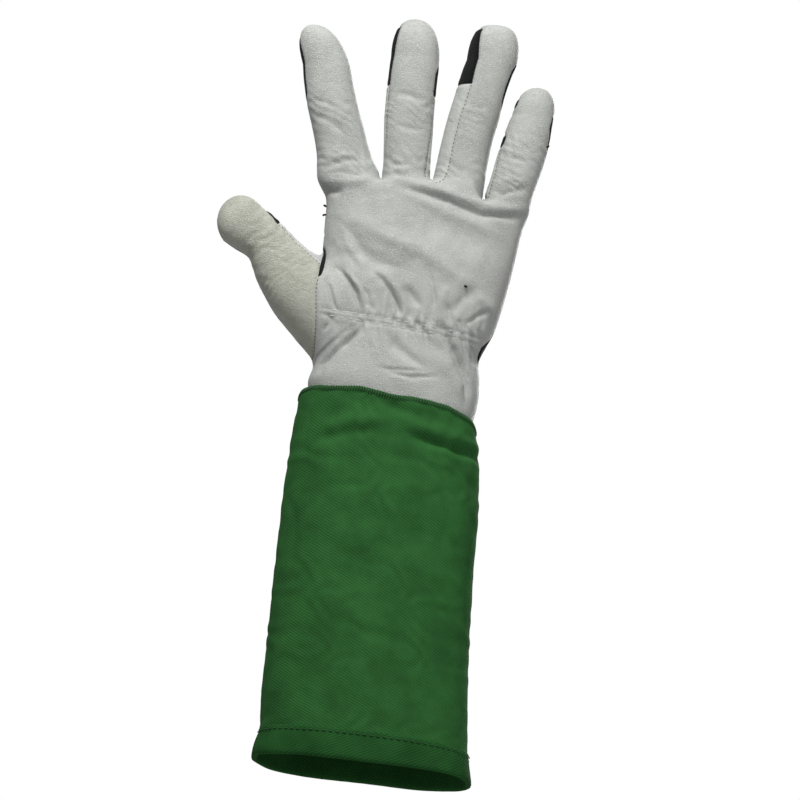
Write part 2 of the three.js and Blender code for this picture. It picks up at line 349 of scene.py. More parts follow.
INDEX = Finger(
    "index",
    Tube(
        Stations((
            (299, -38, -24, 6), (303, -42, -19.5, 9), (307, -46.4, -18, 10.6), (312, -49.8, -17.6, 11.6),
            (318, -51, -18.6, 11.5), (324, -51.5, -22.2, 11.2), (332, -53.2, -25.5, 10.9),
            (340, -55.5, -28.2, 10.8), (352, -59.2, -32.5, 10.6), (364, -62, -36.2, 10.3),
            (373, -63.4, -38.5, 9.9),
        )),
        tip=394.6,
        lean=-0.36,
        roundness=2.3,
    ),
    crotch=316,
    front_low=seam((313, -104), (351, -104), (357, -74), (378, -68), (386, -82), (392, -104)),
    front_high=seam((313, 84), (324, 94)),
    back_low=seam((313, -104), (351, -104), (357, -74), (378, -68), (386, -82), (392, -104)),
    back_high=straight(126),
    strip_ends=(0.0, 362.0),
    wrap=6,
)
MIDDLE = Finger(
    "middle",
    Tube(
        Stations((
            (300, -16, 8, 11), (312, -16.6, 8.2, 11.8), (318, -16.7, 8.3, 11.7), (324, -16.6, 8, 11.4),
            (340, -17.8, 7.8, 11), (352, -18.4, 7.3, 10.9), (376, -18, 7.7, 10.3), (381, -17.7, 7.6, 10),
        )),
        tip=402.3,
        lean=-0.05,
        roundness=2.3,
    ),
    crotch=316,
    front_low=seam(
        (313, -84), (326, -78), (336, -67), (362, -66), (374, -65), (383, -59), (390, -55), (398, -60)
    ),
    front_high=seam((313, 51), (320, 52), (332, 60), (345, 70), (356, 76), (362, 67), (373, 68), (380, 92)),
    back_low=straight(-114),
    back_high=straight(114),
    strip_ends=(365.0, 361.0),
    wrap=5,
    fork=FORK,
)
RING = Finger(
    "ring",
    Tube(
        Stations((
            (300, 10, 36, 11), (312, 9.4, 36.6, 11.8), (318, 10, 37, 11.6), (324, 10.8, 37.2, 11.2),
            (340, 13, 39, 10.9), (352, 15, 41.4, 10.7), (364, 17.6, 43.3, 10.5), (376, 20, 46.2, 10.2),
            (383, 22, 48.4, 9.9),
        )),
        tip=402.8,
        lean=0.06,
        roundness=2.9,
    ),
    crotch=316,
    front_low=seam((313, -25), (345, -26), (369, -22), (378, -26), (386, -31), (393, -36), (400, -46)),
    front_high=seam((313, 100), (355, 102), (361, 76), (370, 71), (379, 74), (386, 102)),
    back_low=seam((313, -118), (330, -106)),
    back_high=straight(128),
    strip_ends=(368.3, 356.0),
    wrap=3,
    fork=FORK,
)
LITTLE = Finger(
    "little",
    Tube(
        Stations((
            (294, 42, 56, 5), (298, 39.5, 58.5, 8), (303, 38, 60.6, 10.4), (308, 37.6, 61.6, 11.2),
            (314, 38.4, 62.6, 11.1), (320, 39.8, 64.2, 10.8), (332, 42.2, 67.2, 10.2), (344, 45, 69, 9.8),
            (352, 47.2, 69.6, 9.3), (355, 48.4, 69.8, 9),
        )),
        tip=371.2,
        lean=0.11,
        roundness=2.3,
    ),
    crotch=311,
    front_low=seam(
        (308, -58), (322, -60), (332, -70), (337, -72), (340, -60), (343, -66), (345, -96), (358, -96),
        (360, -66), (363, -68), (366, -100),
    ),
    front_high=seam((308, 102), (325, 102), (336, 88), (343, 78), (350, 69), (355, 76), (359, 104)),
    back_low=seam((308, -118), (345, -118)),
    back_high=seam((308, 102), (325, 102), (336, 88), (343, 78), (350, 69), (355, 76), (359, 104)),
    strip_ends=(337.0, 0.0),
    wrap=5,
)
THUMB = Finger(
    "thumb",
    Tube(
        Stations((
            (-22, -20.4, 26, 20), (-5, -20.4, 23.6, 19.6), (10, -20, 18.3, 17.6), (20, -18.2, 15.9, 15.2),
            (29, -16, 14, 13.4), (36.5, -13, 13.4, 12.2), (42, -11.4, 13, 11.7), (50, -13.9, 12.3, 11.3),
            (57, -15.7, 10.7, 10.9),
        )),
        tip=71.8,
        lean=0.1,
        roundness=2.05,
    ),
    crotch=270,
    front_low=straight(-98),
    front_high=seam((-20, 30), (4, 34), (14, 48), (24, 55), (44, 56), (52, 66), (58, 100)),
    back_low=straight(-98),
    back_high=straight(124),
    strip_ends=(-99.0, 44.2),
    wrap=6,
    thumb=True,
)
FINGERS = (INDEX, MIDDLE, RING, LITTLE)


# ---------------------------------------------------------------- the hand's skin


def triangle_edges(faces: Array) -> Array:
    """Edges of triangles as sorted pairs: all first edges, then all second and all third ones."""
    return np.sort(np.concatenate([faces[:, [0, 1]], faces[:, [1, 2]], faces[:, [2, 0]]]), axis=1)


@dataclass
class Skin:
    """A triangle mesh with a label for each triangle."""

    points: Array
    faces: Array
    labels: Array

    def cut(self, values: Array, where: Array) -> None:
        """Splits triangles along the zero line of a field.

        Args:
            values: Field at each point; it is snapped to 0 close to the line.
            where: Mask of the triangles that may be split.
        """
        f = np.where(np.abs(values) < 0.06, 0.0, values)
        sign = np.sign(f)[self.faces]
        crossed = (sign * np.roll(sign, -1, axis=1) < 0) & where[:, None]
        count = crossed.sum(axis=1)
        edges = np.stack([self.faces, np.roll(self.faces, -1, axis=1)], axis=2)
        pairs = np.sort(edges[crossed], axis=1)
        if not len(pairs):
            return
        unique, inverse = np.unique(pairs, axis=0, return_inverse=True)
        inverse = inverse.reshape(-1)
        t = f[unique[:, 0]] / (f[unique[:, 0]] - f[unique[:, 1]])
        fresh = self.points[unique[:, 0]] * (1 - t)[:, None] + self.points[unique[:, 1]] * t[:, None]
        number = np.full(crossed.shape, -1)
        number[crossed] = len(self.points) + inverse
        self.points = np.concatenate([self.points, fresh])
        kept = count == 0
        faces, labels = [self.faces[kept]], [self.labels[kept]]
        for k in range(3):
            # Two crossed edges meet at corner k.
            m = (count == 2) & crossed[:, k] & crossed[:, (k + 2) % 3]
            a, b, c = (self.faces[m, (k + j) % 3] for j in range(3))
            ab, ca = number[m, k], number[m, (k + 2) % 3]
            for tri in ((a, ab, ca), (ab, b, c), (ab, c, ca)):
                faces.append(np.stack(tri, axis=1))
                labels.append(self.labels[m])
            # One crossed edge lies opposite corner k.
            m = (count == 1) & crossed[:, (k + 1) % 3]
            a, b, c = (self.faces[m, (k + j) % 3] for j in range(3))
            bc = number[m, (k + 1) % 3]
            for tri in ((a, b, bc), (a, bc, c)):
                faces.append(np.stack(tri, axis=1))
                labels.append(self.labels[m])
        self.faces, self.labels = np.concatenate(faces), np.concatenate(labels)

    def split(self, field: Field, label: int, positive: int) -> None:
        """Cuts one labelled region along a field and relabels its positive side.

        Args:
            field: Field over points, positive on the side to relabel.
            label: Region to cut.
            positive: Label for the positive side.
        """
        self.cut(field(self.points), self.labels == label)
        side = field(self.points)[self.faces]
        side = np.where(np.abs(side) < 0.08, 0.0, side).sum(axis=1)
        self.labels = np.where((self.labels == label) & (side > 0), positive, self.labels)

    def normals(self) -> Array:
        """Smooth unit normal at each point.

        Returns:
            One normal for each point.
        """
        a, b, c = (self.points[self.faces[:, k]] for k in range(3))
        n = np.cross(b - a, c - a)
        out = np.zeros_like(self.points)
        for k in range(3):
            np.add.at(out, self.faces[:, k], n)
        return out / np.maximum(np.linalg.norm(out, axis=1, keepdims=True), 1e-12)

    def refined(self) -> "Skin":
        """The same skin with each triangle split in four.

        Returns:
            The finer skin.
        """
        edges = triangle_edges(self.faces)
        unique, inverse = np.unique(edges, axis=0, return_inverse=True)
        middle = inverse.reshape(3, -1) + len(self.points)
        points = np.concatenate([self.points, self.points[unique].mean(axis=1)])
        (a, b, c), (ab, bc, ca) = self.faces.T, middle
        parts = ((a, ab, ca), (ab, b, bc), (ca, bc, c), (ab, bc, ca))
        faces = np.concatenate([np.stack(part, axis=1) for part in parts])
        return Skin(points, faces, np.zeros(len(faces), int))


def surface_nets(values: Array, origin: Array, step: float) -> tuple[Array, Array]:
    """Quads of the zero surface of a grid of values.

    Args:
        values: Field on a regular grid, negative inside.
        origin: Position of the grid's first corner.
        step: Grid spacing.

    Returns:
        Points and quads that face outwards.
    """
    inside = values < 0
    cells = tuple(n - 1 for n in values.shape)
    total, count = np.zeros(cells + (3,)), np.zeros(cells)
    grid = np.stack(np.meshgrid(*(np.arange(n) for n in values.shape), indexing="ij"), axis=-1).astype(float)
    crossings = []
    for axis in range(3):
        low = tuple(slice(0, -1) if k == axis else slice(None) for k in range(3))
        high = tuple(slice(1, None) if k == axis else slice(None) for k in range(3))
        crossed = inside[low] != inside[high]
        share = np.where(crossed, values[low] / np.where(crossed, values[low] - values[high], 1.0), 0.0)
        point = grid[low].copy()
        point[..., axis] += share
        crossings.append(crossed)
        p, q = (k for k in range(3) if k != axis)
        for dp in (0, 1):
            for dq in (0, 1):
                part = [slice(None)] * 3
                part[p], part[q] = slice(dp, dp + cells[p]), slice(dq, dq + cells[q])
                hit = crossed[tuple(part)]
                total += np.where(hit[..., None], point[tuple(part)], 0.0)
                count += hit
    active = count > 0
    number = np.full(cells, -1)
    number[active] = np.arange(active.sum())
    points = total[active] / count[active][:, None] * step + origin
    quads = []
    for axis, crossed in enumerate(crossings):
        p, q = (k for k in range(3) if k != axis)
        part = [slice(None)] * 3
        part[p], part[q] = slice(1, cells[p]), slice(1, cells[q])
        at = np.argwhere(crossed[tuple(part)])
        at[:, p] += 1
        at[:, q] += 1
        corners = []
        for dp, dq in ((-1, -1), (0, -1), (0, 0), (-1, 0)):
            cell = at.copy()
            cell[:, p] += dp
            cell[:, q] += dq
            corners.append(number[tuple(cell.T)])
        quad = np.stack(corners, axis=1)
        outward = inside[tuple(at.T)] != (axis == 1)
        quads.append(np.where(outward[:, None], quad, quad[:, ::-1]))
    return points, np.concatenate(quads)


@dataclass
class HandForm:
    """Shape of the leather hand: a palm, four fingers and a thumb melted together."""

    palm: Stations = Stations((
        (180, -43.4, 38.6, 27), (188, -43.8, 40.9, 27), (196, -44.2, 42.8, 26.8),
        (204, -45.4, 43.5, 26.6), (212, -43.3, 43.1, 25.8), (222, -42.2, 42, 24.4),
        (232, -43.4, 45.8, 23.2), (240, -43.6, 49, 22.8), (256, -43.8, 52.6, 22), (272, -44, 55.4, 20),
        (288, -44.2, 57.6, 17.6), (300, -44.4, 59, 15.6), (308, -46.6, 61, 14), (318, -50.6, 63, 12.6),
    ))
    index_top: float = 312.2
    top: float = 314.0
    little_top: float = 305.0
    squareness: float = 2.7
    palm_fillet: float = 6.0
    finger_fillet: float = 4.5
    thumb_fillet: float = 5.0

    def value(self, p: Array) -> Array:
        """Signed distance to the hand's outer skin.

        Args:
            p: Points in millimetres.

        Returns:
            Signed distances, negative inside.
        """
        low, high, depth = self.palm.at(p[..., 2])
        dx, half = p[..., 0] - (low + high) / 2, (high - low) / 2
        n = self.squareness
        around = (np.abs(dx / half) ** n + np.abs(p[..., 1] / depth) ** n) ** (1 / n)
        reach = np.sqrt(dx**2 + p[..., 1] ** 2) + 1e-6
        body = reach - reach / np.maximum(around, 1e-3)
        top = self.index_top + (self.top - self.index_top) * smoothstep(p[..., 0], -14, -4)
        top = top + (self.little_top - self.top) * smoothstep(p[..., 0], 30, 37)
        palm = -soft_min(-body, top - p[..., 2], self.palm_fillet)
        fingers = np.minimum.reduce([f.value(p) for f in FINGERS])
        skin = soft_min(palm, fingers, self.finger_fillet)
        return soft_min(skin, THUMB.value(p), self.thumb_fillet)

    def gradient(self, p: Array) -> Array:
        """Gradient of the distance by central differences.

        Args:
            p: Points in millimetres.

        Returns:
            The gradient at each point.
        """
        step = 0.05
        out = np.empty_like(p)
        for k in range(3):
            shift = np.zeros(3)
            shift[k] = step
            out[..., k] = (self.value(p + shift) - self.value(p - shift)) / (2 * step)
        return out

    def settle(self, points: Array, rounds: int) -> Array:
        """Moves points onto the skin.

        Args:
            points: Points near the skin.
            rounds: Newton steps to take.

        Returns:
            The moved points.
        """
        p = points.copy()
        for _ in range(rounds):
            g = self.gradient(p)
            move = self.value(p)[:, None] * g / np.maximum((g**2).sum(axis=1, keepdims=True), 0.2)
            size = np.linalg.norm(move, axis=1, keepdims=True)
            p -= move * np.minimum(1.0, 1.0 / np.maximum(size, 1e-9))
        return p

    def skin(self, step: float) -> Skin:
        """Builds the hand's skin as triangles.

        Args:
            step: Grid spacing; the finished triangles are half that size.

        Returns:
            The skin, open at the wrist.
        """
        low, high = np.array([-104.0, -32.0, 183.0]), np.array([76.0, 32.0, 408.0])
        axes = [np.arange(low[k], high[k] + step, step) for k in range(3)]
        grid = np.stack(np.meshgrid(*axes, indexing="ij"), axis=-1)
        points, quads = surface_nets(self.value(grid), low, step)
        points = self.settle(points, 3)
        a, b, c, d = (points[quads[:, k]] for k in range(4))
        short = ((a - c) ** 2).sum(axis=1) < ((b - d) ** 2).sum(axis=1)
        first = np.where(short[:, None], quads[:, [0, 1, 2]], quads[:, [0, 1, 3]])
        second = np.where(short[:, None], quads[:, [0, 2, 3]], quads[:, [1, 2, 3]])
        faces = np.concatenate([first, second])
        fine = Skin(points, faces, np.zeros(len(faces), int)).refined()
        fine.points = self.settle(fine.points, 2)
        return fine


# ---------------------------------------------------------------- folds and seams


@dataclass(frozen=True)
class Fold:
    """A soft fold pressed into a skin, along a line of (x, z) points on one side of the glove."""

    line: tuple[tuple[float, float], ...]
    height: float
    width: float
    back: bool = False

    def relief(self, p: Array) -> Array:
        """Height that the fold adds at each point.

        Args:
            p: Points in millimetres.

        Returns:
            Heights along the skin's normal, negative in a groove.
        """
        flat = p[:, [0, 2]]
        line = np.array(self.line)
        spans = np.linalg.norm(np.diff(line, axis=0), axis=1)
        start = np.concatenate([[0.0], np.cumsum(spans)])
        best, along = np.full(len(p), 1e9), np.zeros(len(p))
        for a, b, at, span in zip(line[:-1], line[1:], start, spans):
            t = np.clip(((flat - a) @ (b - a)) / span**2, 0, 1)
            distance = np.linalg.norm(flat - a - t[:, None] * (b - a), axis=1)
            nearer = distance < best
            best, along = np.where(nearer, distance, best), np.where(nearer, at + t * span, along)
        reach = max(0.33 * start[-1], 1.2 * self.width)
        taper = smoothstep(along, 0.0, reach) * smoothstep(start[-1] - along, 0.0, reach)
        uneven = wander(along / 7.0, line[0, 0])
        side = smoothstep(p[:, 1] if self.back else -p[:, 1], -1.0, 5.0)
        return self.height * (1 + 0.18 * uneven) * bell(best, self.width * (1 + 0.22 * uneven)) * taper * side


def crumple(across: Array, along: Array, spacing: float, seed: float) -> Array:
    """Irregular parallel creases, from -1 in a groove to 1 on a crest.

    Args:
        across: Positions across the creases.
        along: Positions along them.
        spacing: Usual distance between creases.
        seed: Shifts the pattern.

    Returns:
        The relief of the creases.
    """
    bend = wander(along / 17, seed) * 0.9 + wander(along / 6.5, seed + 3) * 0.35
    bend = bend + wander(across / 15, seed + 7) * 0.6
    wave = np.sin(2 * np.pi * across / spacing + 2 * np.pi * bend)
    patch = 0.55 + 0.45 * wander(along / 8 + across / 21, seed + 11)
    return (np.abs(wave) ** 0.7 * np.sign(wave)) * np.clip(patch, 0.1, 1.0)


# Folds of the palm side, as (x, z) points in millimetres, with each fold's height and half width.
FOLDS = (
    # under the knuckles
    Fold(((-10.9, 310.2), (-1, 307.3), (10.3, 305.2), (18.5, 303.1), (27.6, 299.8), (35.8, 297.5),
          (43.8, 297.7), (52.5, 298.5), (61.1, 300.6), (66.6, 302.1)), -2, 1.9),
    Fold(((-16.8, 313.8), (-4.6, 311.6), (6.7, 310.4), (16.5, 308), (26.3, 305.4), (38.5, 303),
          (50.5, 302.4), (61.5, 304.7), (66.2, 305.7)), 1.7, 2.6),
    Fold(((-16.5, 310.1), (-4.1, 305.8), (7.5, 301.3), (19.1, 296.6), (31.4, 292.8), (43.7, 288.6),
          (55.3, 284.4)), 0.9, 3.2),
    Fold(((-1.6, 295.2), (13.2, 290), (28.1, 284.8), (40.5, 279.4), (51.3, 275.5)), -1.3, 7.5),
    # across the palm from the root of the index finger
    Fold(((-35.5, 294.4), (-25.8, 288.7), (-16.5, 282.7), (-6.5, 278.3), (5, 274.4), (15, 270.4),
          (23.5, 264.6), (32.8, 258.5), (45.3, 252.7)), 1.6, 4.4),
    Fold(((-42.9, 292.1), (-35.9, 285.4), (-29.7, 278.6), (-23.5, 271.8), (-15.1, 266.5), (-4.5, 264.2),
          (7.5, 264)), -1.7, 4),
    Fold(((-38.7, 289.2), (-32.2, 279.2), (-27.4, 269.9), (-22.3, 263), (-16.5, 255.4)), 1.2, 2.4),
    Fold(((-31, 274.4), (-26.3, 266.7), (-20.1, 260.7), (-15.8, 257.1)), -0.9, 2.6),
    Fold(((-40.9, 278.6), (-37, 270.8), (-34.1, 264.6)), -0.8, 3.4),
    # root of the index finger
    Fold(((-50.9, 311.5), (-44.4, 309.7), (-36.3, 309.2), (-27.6, 310.3), (-20.1, 315.1)), 0.8, 2.4),
    Fold(((-50.5, 306.1), (-45.6, 304.9), (-41.5, 303.9), (-35.1, 304.4)), -1.5, 2),
    Fold(((-48.8, 314.4), (-42.7, 318.6), (-35.8, 321.2), (-27.8, 321.1)), -0.6, 1.6),
    Fold(((-47, 312.9), (-38.4, 314.5), (-30.3, 313.2), (-24, 314.9)), -0.5, 1.2),
    Fold(((-45.3, 320.4), (-36.8, 323.6), (-28.9, 324.3)), 0.4, 1.6),
    # middle of the index finger
    Fold(((-57.1, 347.3), (-50.8, 342.5), (-43, 338.8), (-34.9, 331.9)), -0.7, 1.7),
    Fold(((-58.1, 352.7), (-49.4, 351.3), (-42.7, 347.5)), -0.5, 1.4),
    # middle finger
    Fold(((-14.5, 315.8), (-7.3, 315.6), (0, 314.2), (4.9, 312.6)), -0.6, 1.3),
    Fold(((-14.9, 320.2), (-8.6, 321.2), (0.2, 321.2)), -0.5, 1.2),
    Fold(((-15.6, 359.7), (-4.3, 358.6), (4.6, 355)), -0.7, 1.8),
    Fold(((-14.6, 343.3), (-4.8, 340.9), (4.8, 340.7)), -0.5, 1.3),
    # little finger
    Fold(((37.5, 315.3), (46.7, 310.1), (52.1, 312.2), (57.5, 314.3), (63.2, 313.8)), -0.9, 1.7),
    Fold(((44.5, 317.2), (52.4, 318.7), (60.5, 317.4)), 0.5, 1.8),
    Fold(((44.1, 330.3), (51.6, 329.9), (60.2, 328.5)), -0.5, 1.2),
    # gathered above the elastic
    Fold(((-38.8, 263.4), (-33.7, 260.6), (-29.3, 255.7), (-25.2, 249.5), (-22.6, 243.2), (-21.1, 236.8),
          (-20.5, 232.8)), -1.9, 1.2),
    Fold(((-33.5, 262.6), (-26.9, 255.9), (-21.5, 249), (-18.4, 241.2)), 0.9, 1.4),
    Fold(((-18.8, 262.9), (-11.9, 257), (-6.5, 250.2), (-2.6, 243.2), (0.5, 236.9), (1.6, 233.8)), -1.9,
          1.2),
    Fold(((-12.3, 261.9), (-4.4, 253.6), (1.2, 245.1), (4.1, 238.9)), 0.9, 1.6),
    Fold(((-41.4, 257), (-38.4, 250), (-36.4, 243.6), (-33.8, 239), (-33, 235)), -1.5, 0.9),
    Fold(((-22.7, 253), (-18.7, 248.5), (-17.4, 242.9), (-13.4, 239.2)), -0.8, 1),
    Fold(((12.1, 265.7), (14.3, 257.7), (16.1, 249.7), (16, 240.8)), -0.9, 1),
    Fold(((-0.5, 255.6), (5.7, 248), (10.2, 242.7)), -1.4, 2.2),
    Fold(((40.5, 261.1), (34, 254), (28.2, 246.9), (22.4, 240.7)), -1.3, 3.2),
    Fold(((45.7, 247.9), (39, 242.4), (32.4, 236.1)), -1.4, 1.5),
    Fold(((22.4, 257.8), (20, 249.5), (19.1, 241.2)), 0.7, 2),
    Fold(((35.7, 253.1), (43.1, 250.5), (49.9, 246.2)), 0.8, 3),
    Fold(((22.8, 248.4), (24.3, 242.4), (27.9, 235.6)), -1, 1.3),
    Fold(((29.5, 240.9), (32, 233)), -0.9, 1),
    # below the elastic, towards the cuff
    Fold(((-17.2, 237), (-21.8, 227.9), (-27.3, 222.4), (-33.3, 216.7), (-38.8, 210.7), (-42.1, 202.7)),
          -2.2, 1.7),
    Fold(((-35.2, 238.2), (-36.3, 233), (-40.2, 226.5)), -1, 1.4),
    Fold(((-25.4, 228.6), (-29.8, 222.1), (-37, 213.4)), 0.9, 2),
    Fold(((-8.7, 231.8), (-1.9, 222.2), (5.6, 216.8), (19.3, 208.8)), -1.4, 2.8),
    Fold(((18.2, 237.8), (28, 223.4), (33.7, 213.8), (36.8, 205.9), (37.4, 190.7)), -2.6, 1.9),
    Fold(((35.9, 231), (38.5, 224.2), (40.7, 216.2)), -1.1, 1.3),
    Fold(((13.9, 224.8), (31.5, 206), (38.6, 194.5)), 0.9, 3.6),
    Fold(((-9.6, 207.9), (7.5, 205.8), (24.3, 207.9)), -1, 1.3),
    Fold(((-12.8, 209.6), (-2.7, 208.9), (15.1, 209.9)), -0.8, 1),
)


ELASTIC_ROW = 235.6         # height of the upper row of stitches at x = 0
ELASTIC_SLOPE = 0.095       # the rows sink by this much for each millimetre towards +X
ELASTIC_GAP = 3.4
ELASTIC_END = (-44.0, -40.0)


def gather_relief(x: Array, z: Array) -> Array:
    """Puckers that the elastic pulls into the palm's leather, and the grooves of its two rows of stitches.

    Args:
        x: Positions across the palm.
        z: Heights.

    Returns:
        Height at each point, in millimetres.
    """
    above = z - (ELASTIC_ROW - ELASTIC_SLOPE * x)
    gather = (bell(above + 1.2, 8.0) + 0.3 * bell(above, 15.0)) * smoothstep(x, -43, -34)
    pucker = crumple(x, z * 0.5, 5.6, 4.6) * 0.62 + crumple(x + 0.2 * z, z * 0.6, 9.0, 5.0) * 0.5
    rows = bell(above, 1.1) + bell(above + ELASTIC_GAP, 1.1)
    return gather * pucker - rows * 0.45 * smoothstep(x, *ELASTIC_END)


def finger_relief(finger: Finger, p: Array, palm_side: Array, back_side: Array) -> Array:
    """Creases across one finger, deepest at its root and its middle joint.

    Args:
        finger: The finger.
        p: Points on the skin.
        palm_side: 1 where the skin faces the palm side.
        back_side: 1 where the skin faces the back.

    Returns:
        Height at each point, in millimetres.
    """
    x, _, z = p.T
    root, start = finger.crotch, finger.tube.stations.rows[-1][0]
    above_middle = z - (root + start) / 2 - 2
    mine = smoothstep(0.5 - finger.value(p), -0.5, 0.3) * smoothstep(z, root - 3, root + 3)
    lean = 0.55 * x + 0.84 * z
    joint = bell(z - root - 5, 8.0) + bell(above_middle, 8.5) * 0.9 + 0.16
    creases = crumple(lean, x, 3.7, root * 0.1 + start) * 0.17 + crumple(lean, x - z * 0.2, 9.0, start) * 0.22
    folds = bell(above_middle, 11.0) * crumple(z, x, 4.6, start) * 0.28
    return mine * palm_side * joint * creases + mine * back_side * folds


def thumb_relief(p: Array, palm_side: Array) -> Array:
    """Creases across the thumb.

    Args:
        p: Points on the skin.
        palm_side: 1 where the skin faces the palm side.

    Returns:
        Height at each point, in millimetres.
    """
    x, _, z = p.T
    across, _, height = THUMB.place(p)
    mine = smoothstep(0.6 - THUMB.value(p), -0.5, 0.3) * smoothstep(-x, 44, 52) * smoothstep(300 - z, 0, 4)
    creases = crumple(height + across * 0.2, across, 4.2, 6.0) * 0.2
    creases += crumple(height, across, 10.0, 8.0) * 0.25
    joint = bell(height - 44, 9.0) + bell(height - 22, 8.0) * 0.7 + 0.2
    return mine * joint * creases * (0.25 + 0.75 * palm_side)


def relief(p: Array, normal: Array) -> Array:
    """Height of all folds and creases on the hand's skin.

    Args:
        p: Points on the skin.
        normal: Their outward normals.

    Returns:
        Height at each point, in millimetres.
    """
    x, _, z = p.T
    palm_side = smoothstep(-normal[:, 1], -0.2, 0.6)
    back_side = smoothstep(normal[:, 1], 0.0, 0.7)
    out = sum(fold.relief(p) for fold in FOLDS)
    out += gather_relief(x, z) * palm_side
    out += back_side * bell(z - 228, 26.0) * crumple(z, x, 11.0, 1.0) * 0.4
    palm = smoothstep(318 - z, 0, 8) * smoothstep(x, -50, -44) * smoothstep(z, 244, 256)
    out += palm_side * palm * crumple(x * 0.45 + z * 0.9, x, 7.0, 3.0) * 0.05
    for finger in FINGERS:
        out += finger_relief(finger, p, palm_side, back_side)
    return out + thumb_relief(p, palm_side)


# ---------------------------------------------------------------- meshes


@dataclass
class Shape:
    """Triangles or quads in millimetres, with a material number for each face."""

    points: Array
    faces: list[Array]
    materials: list[int]
    normals: Array | None = None
    cloth: Array | None = None

    def add(self, points: Array, faces: Array, material: int) -> None:
        """Adds faces with their own points.

        Args:
            points: The new points.
            faces: Faces as numbers of the new points.
            material: Number of their material.
        """
        start = len(self.points)
        self.points = np.concatenate([self.points, points])
        self.faces.append(faces + start)
        self.materials.append(material)
        if self.cloth is not None:
            self.cloth = np.concatenate([self.cloth, points[:, [0, 2, 1]]])

    def build(self, name: str, materials: Sequence[bpy.types.Material], slot: Slot) -> bpy.types.Object:
        """Makes the Blender object.

        Args:
            name: Name of the piece.
            materials: Materials in the order of their numbers.
            slot: Material slot of the record; not used.

        Returns:
            The object, in metres.
        """
        mesh = bpy.data.meshes.new(name)
        sizes = np.concatenate([np.full(len(f), f.shape[1]) for f in self.faces])
        loops = np.concatenate([f.reshape(-1) for f in self.faces])
        mesh.vertices.add(len(self.points))
        mesh.vertices.foreach_set("co", (self.points * MM).astype(np.float32).reshape(-1))
        mesh.loops.add(len(loops))
        mesh.loops.foreach_set("vertex_index", loops.astype(np.int32))
        mesh.polygons.add(len(sizes))
        mesh.polygons.foreach_set("loop_start", np.concatenate([[0], np.cumsum(sizes)[:-1]]).astype(np.int32))
        number = np.concatenate([np.full(len(f), m) for f, m in zip(self.faces, self.materials)])
        mesh.polygons.foreach_set("material_index", number.astype(np.int32))
        mesh.update(calc_edges=True)
        mesh.polygons.foreach_set("use_smooth", np.ones(len(sizes), bool))
        rest = mesh.attributes.new("rest", "FLOAT_VECTOR", "POINT")
        place = self.points if self.cloth is None else self.cloth
        rest.data.foreach_set("vector", place.astype(np.float32).reshape(-1))
        if self.normals is not None:
            fill = np.zeros((len(self.points) - len(self.normals), 3))
            mesh.normals_split_custom_set_from_vertices(np.concatenate([self.normals, fill]).tolist())
        for material in materials:
            mesh.materials.append(material)
        obj = bpy.data.objects.new(name, mesh)
        bpy.context.scene.collection.objects.link(obj)
        return obj


def thread(path: Array, radius: float, sides: int = 6) -> tuple[Array, Array]:
    """A thin thread with rounded ends along a path.

    Args:
        path: Points of its centre line.
        radius: Its radius.
        sides: Points round it.

    Returns:
        Points and quads.
    """
    tangent = np.gradient(path, axis=0)
    tangent /= np.maximum(np.linalg.norm(tangent, axis=1, keepdims=True), 1e-9)
    guide = np.where(np.abs(tangent[:1, 2:]) < 0.8, [[0.0, 0.0, 1.0]], [[0.0, 1.0, 0.0]])
    side = np.cross(tangent, guide)
    side /= np.maximum(np.linalg.norm(side, axis=1, keepdims=True), 1e-9)
    up = np.cross(side, tangent)
    share = np.linspace(-1, 1, len(path))
    size = radius * np.sqrt(np.clip(1.02 - np.abs(share) ** 5, 0.02, 1))
    angle = np.linspace(0, 2 * np.pi, sides, endpoint=False)
    ring = np.cos(angle)[None, :, None] * side[:, None] + np.sin(angle)[None, :, None] * up[:, None]
    points = (path[:, None] + ring * size[:, None, None]).reshape(-1, 3)
    i, j = np.meshgrid(np.arange(len(path) - 1), np.arange(sides), indexing="ij")
    a, b = i * sides + j, i * sides + (j + 1) % sides
    return points, np.stack([a, b, b + sides, a + sides], axis=-1).reshape(-1, 4)


def chains(edges: Array) -> list[list[int]]:
    """Joins edges end to end.

    Args:
        edges: Pairs of point numbers.

    Returns:
        Lists of point numbers in order.
    """
    near: dict[int, list[int]] = {}
    for a, b in edges.tolist():
        near.setdefault(a, []).append(b)
        near.setdefault(b, []).append(a)
    left = set(near)
    out = []
    for start in sorted(near, key=lambda k: (len(near[k]) != 1, k)):
        if start not in left:
            continue
        line, here = [start], start
        left.discard(start)
        while True:
            ahead = [k for k in near[here] if k in left]
            if not ahead:
                break
            here = ahead[0]
            left.discard(here)
            line.append(here)
        out.append(line)
    return [line for line in out if len(line) > 3]


def spaced(line: Array, spacing: float) -> tuple[Array, Array]:
    """Evenly spaced points along a line, and its direction at each.

    Args:
        line: Points of the line.
        spacing: Distance between the new points.

    Returns:
        The new points, and unit directions at each.
    """
    spans = np.linalg.norm(np.diff(line, axis=0), axis=1)
    at = np.concatenate([[0.0], np.cumsum(spans)])
    marks = np.arange(spacing / 2, at[-1], spacing)
    point = np.stack([np.interp(marks, at, line[:, k]) for k in range(3)], axis=1)
    ahead = np.stack([np.interp(marks + 0.8, at, line[:, k]) for k in range(3)], axis=1)
    behind = np.stack([np.interp(marks - 0.8, at, line[:, k]) for k in range(3)], axis=1)
    way = ahead - behind
    return point, way / np.maximum(np.linalg.norm(way, axis=1, keepdims=True), 1e-9)


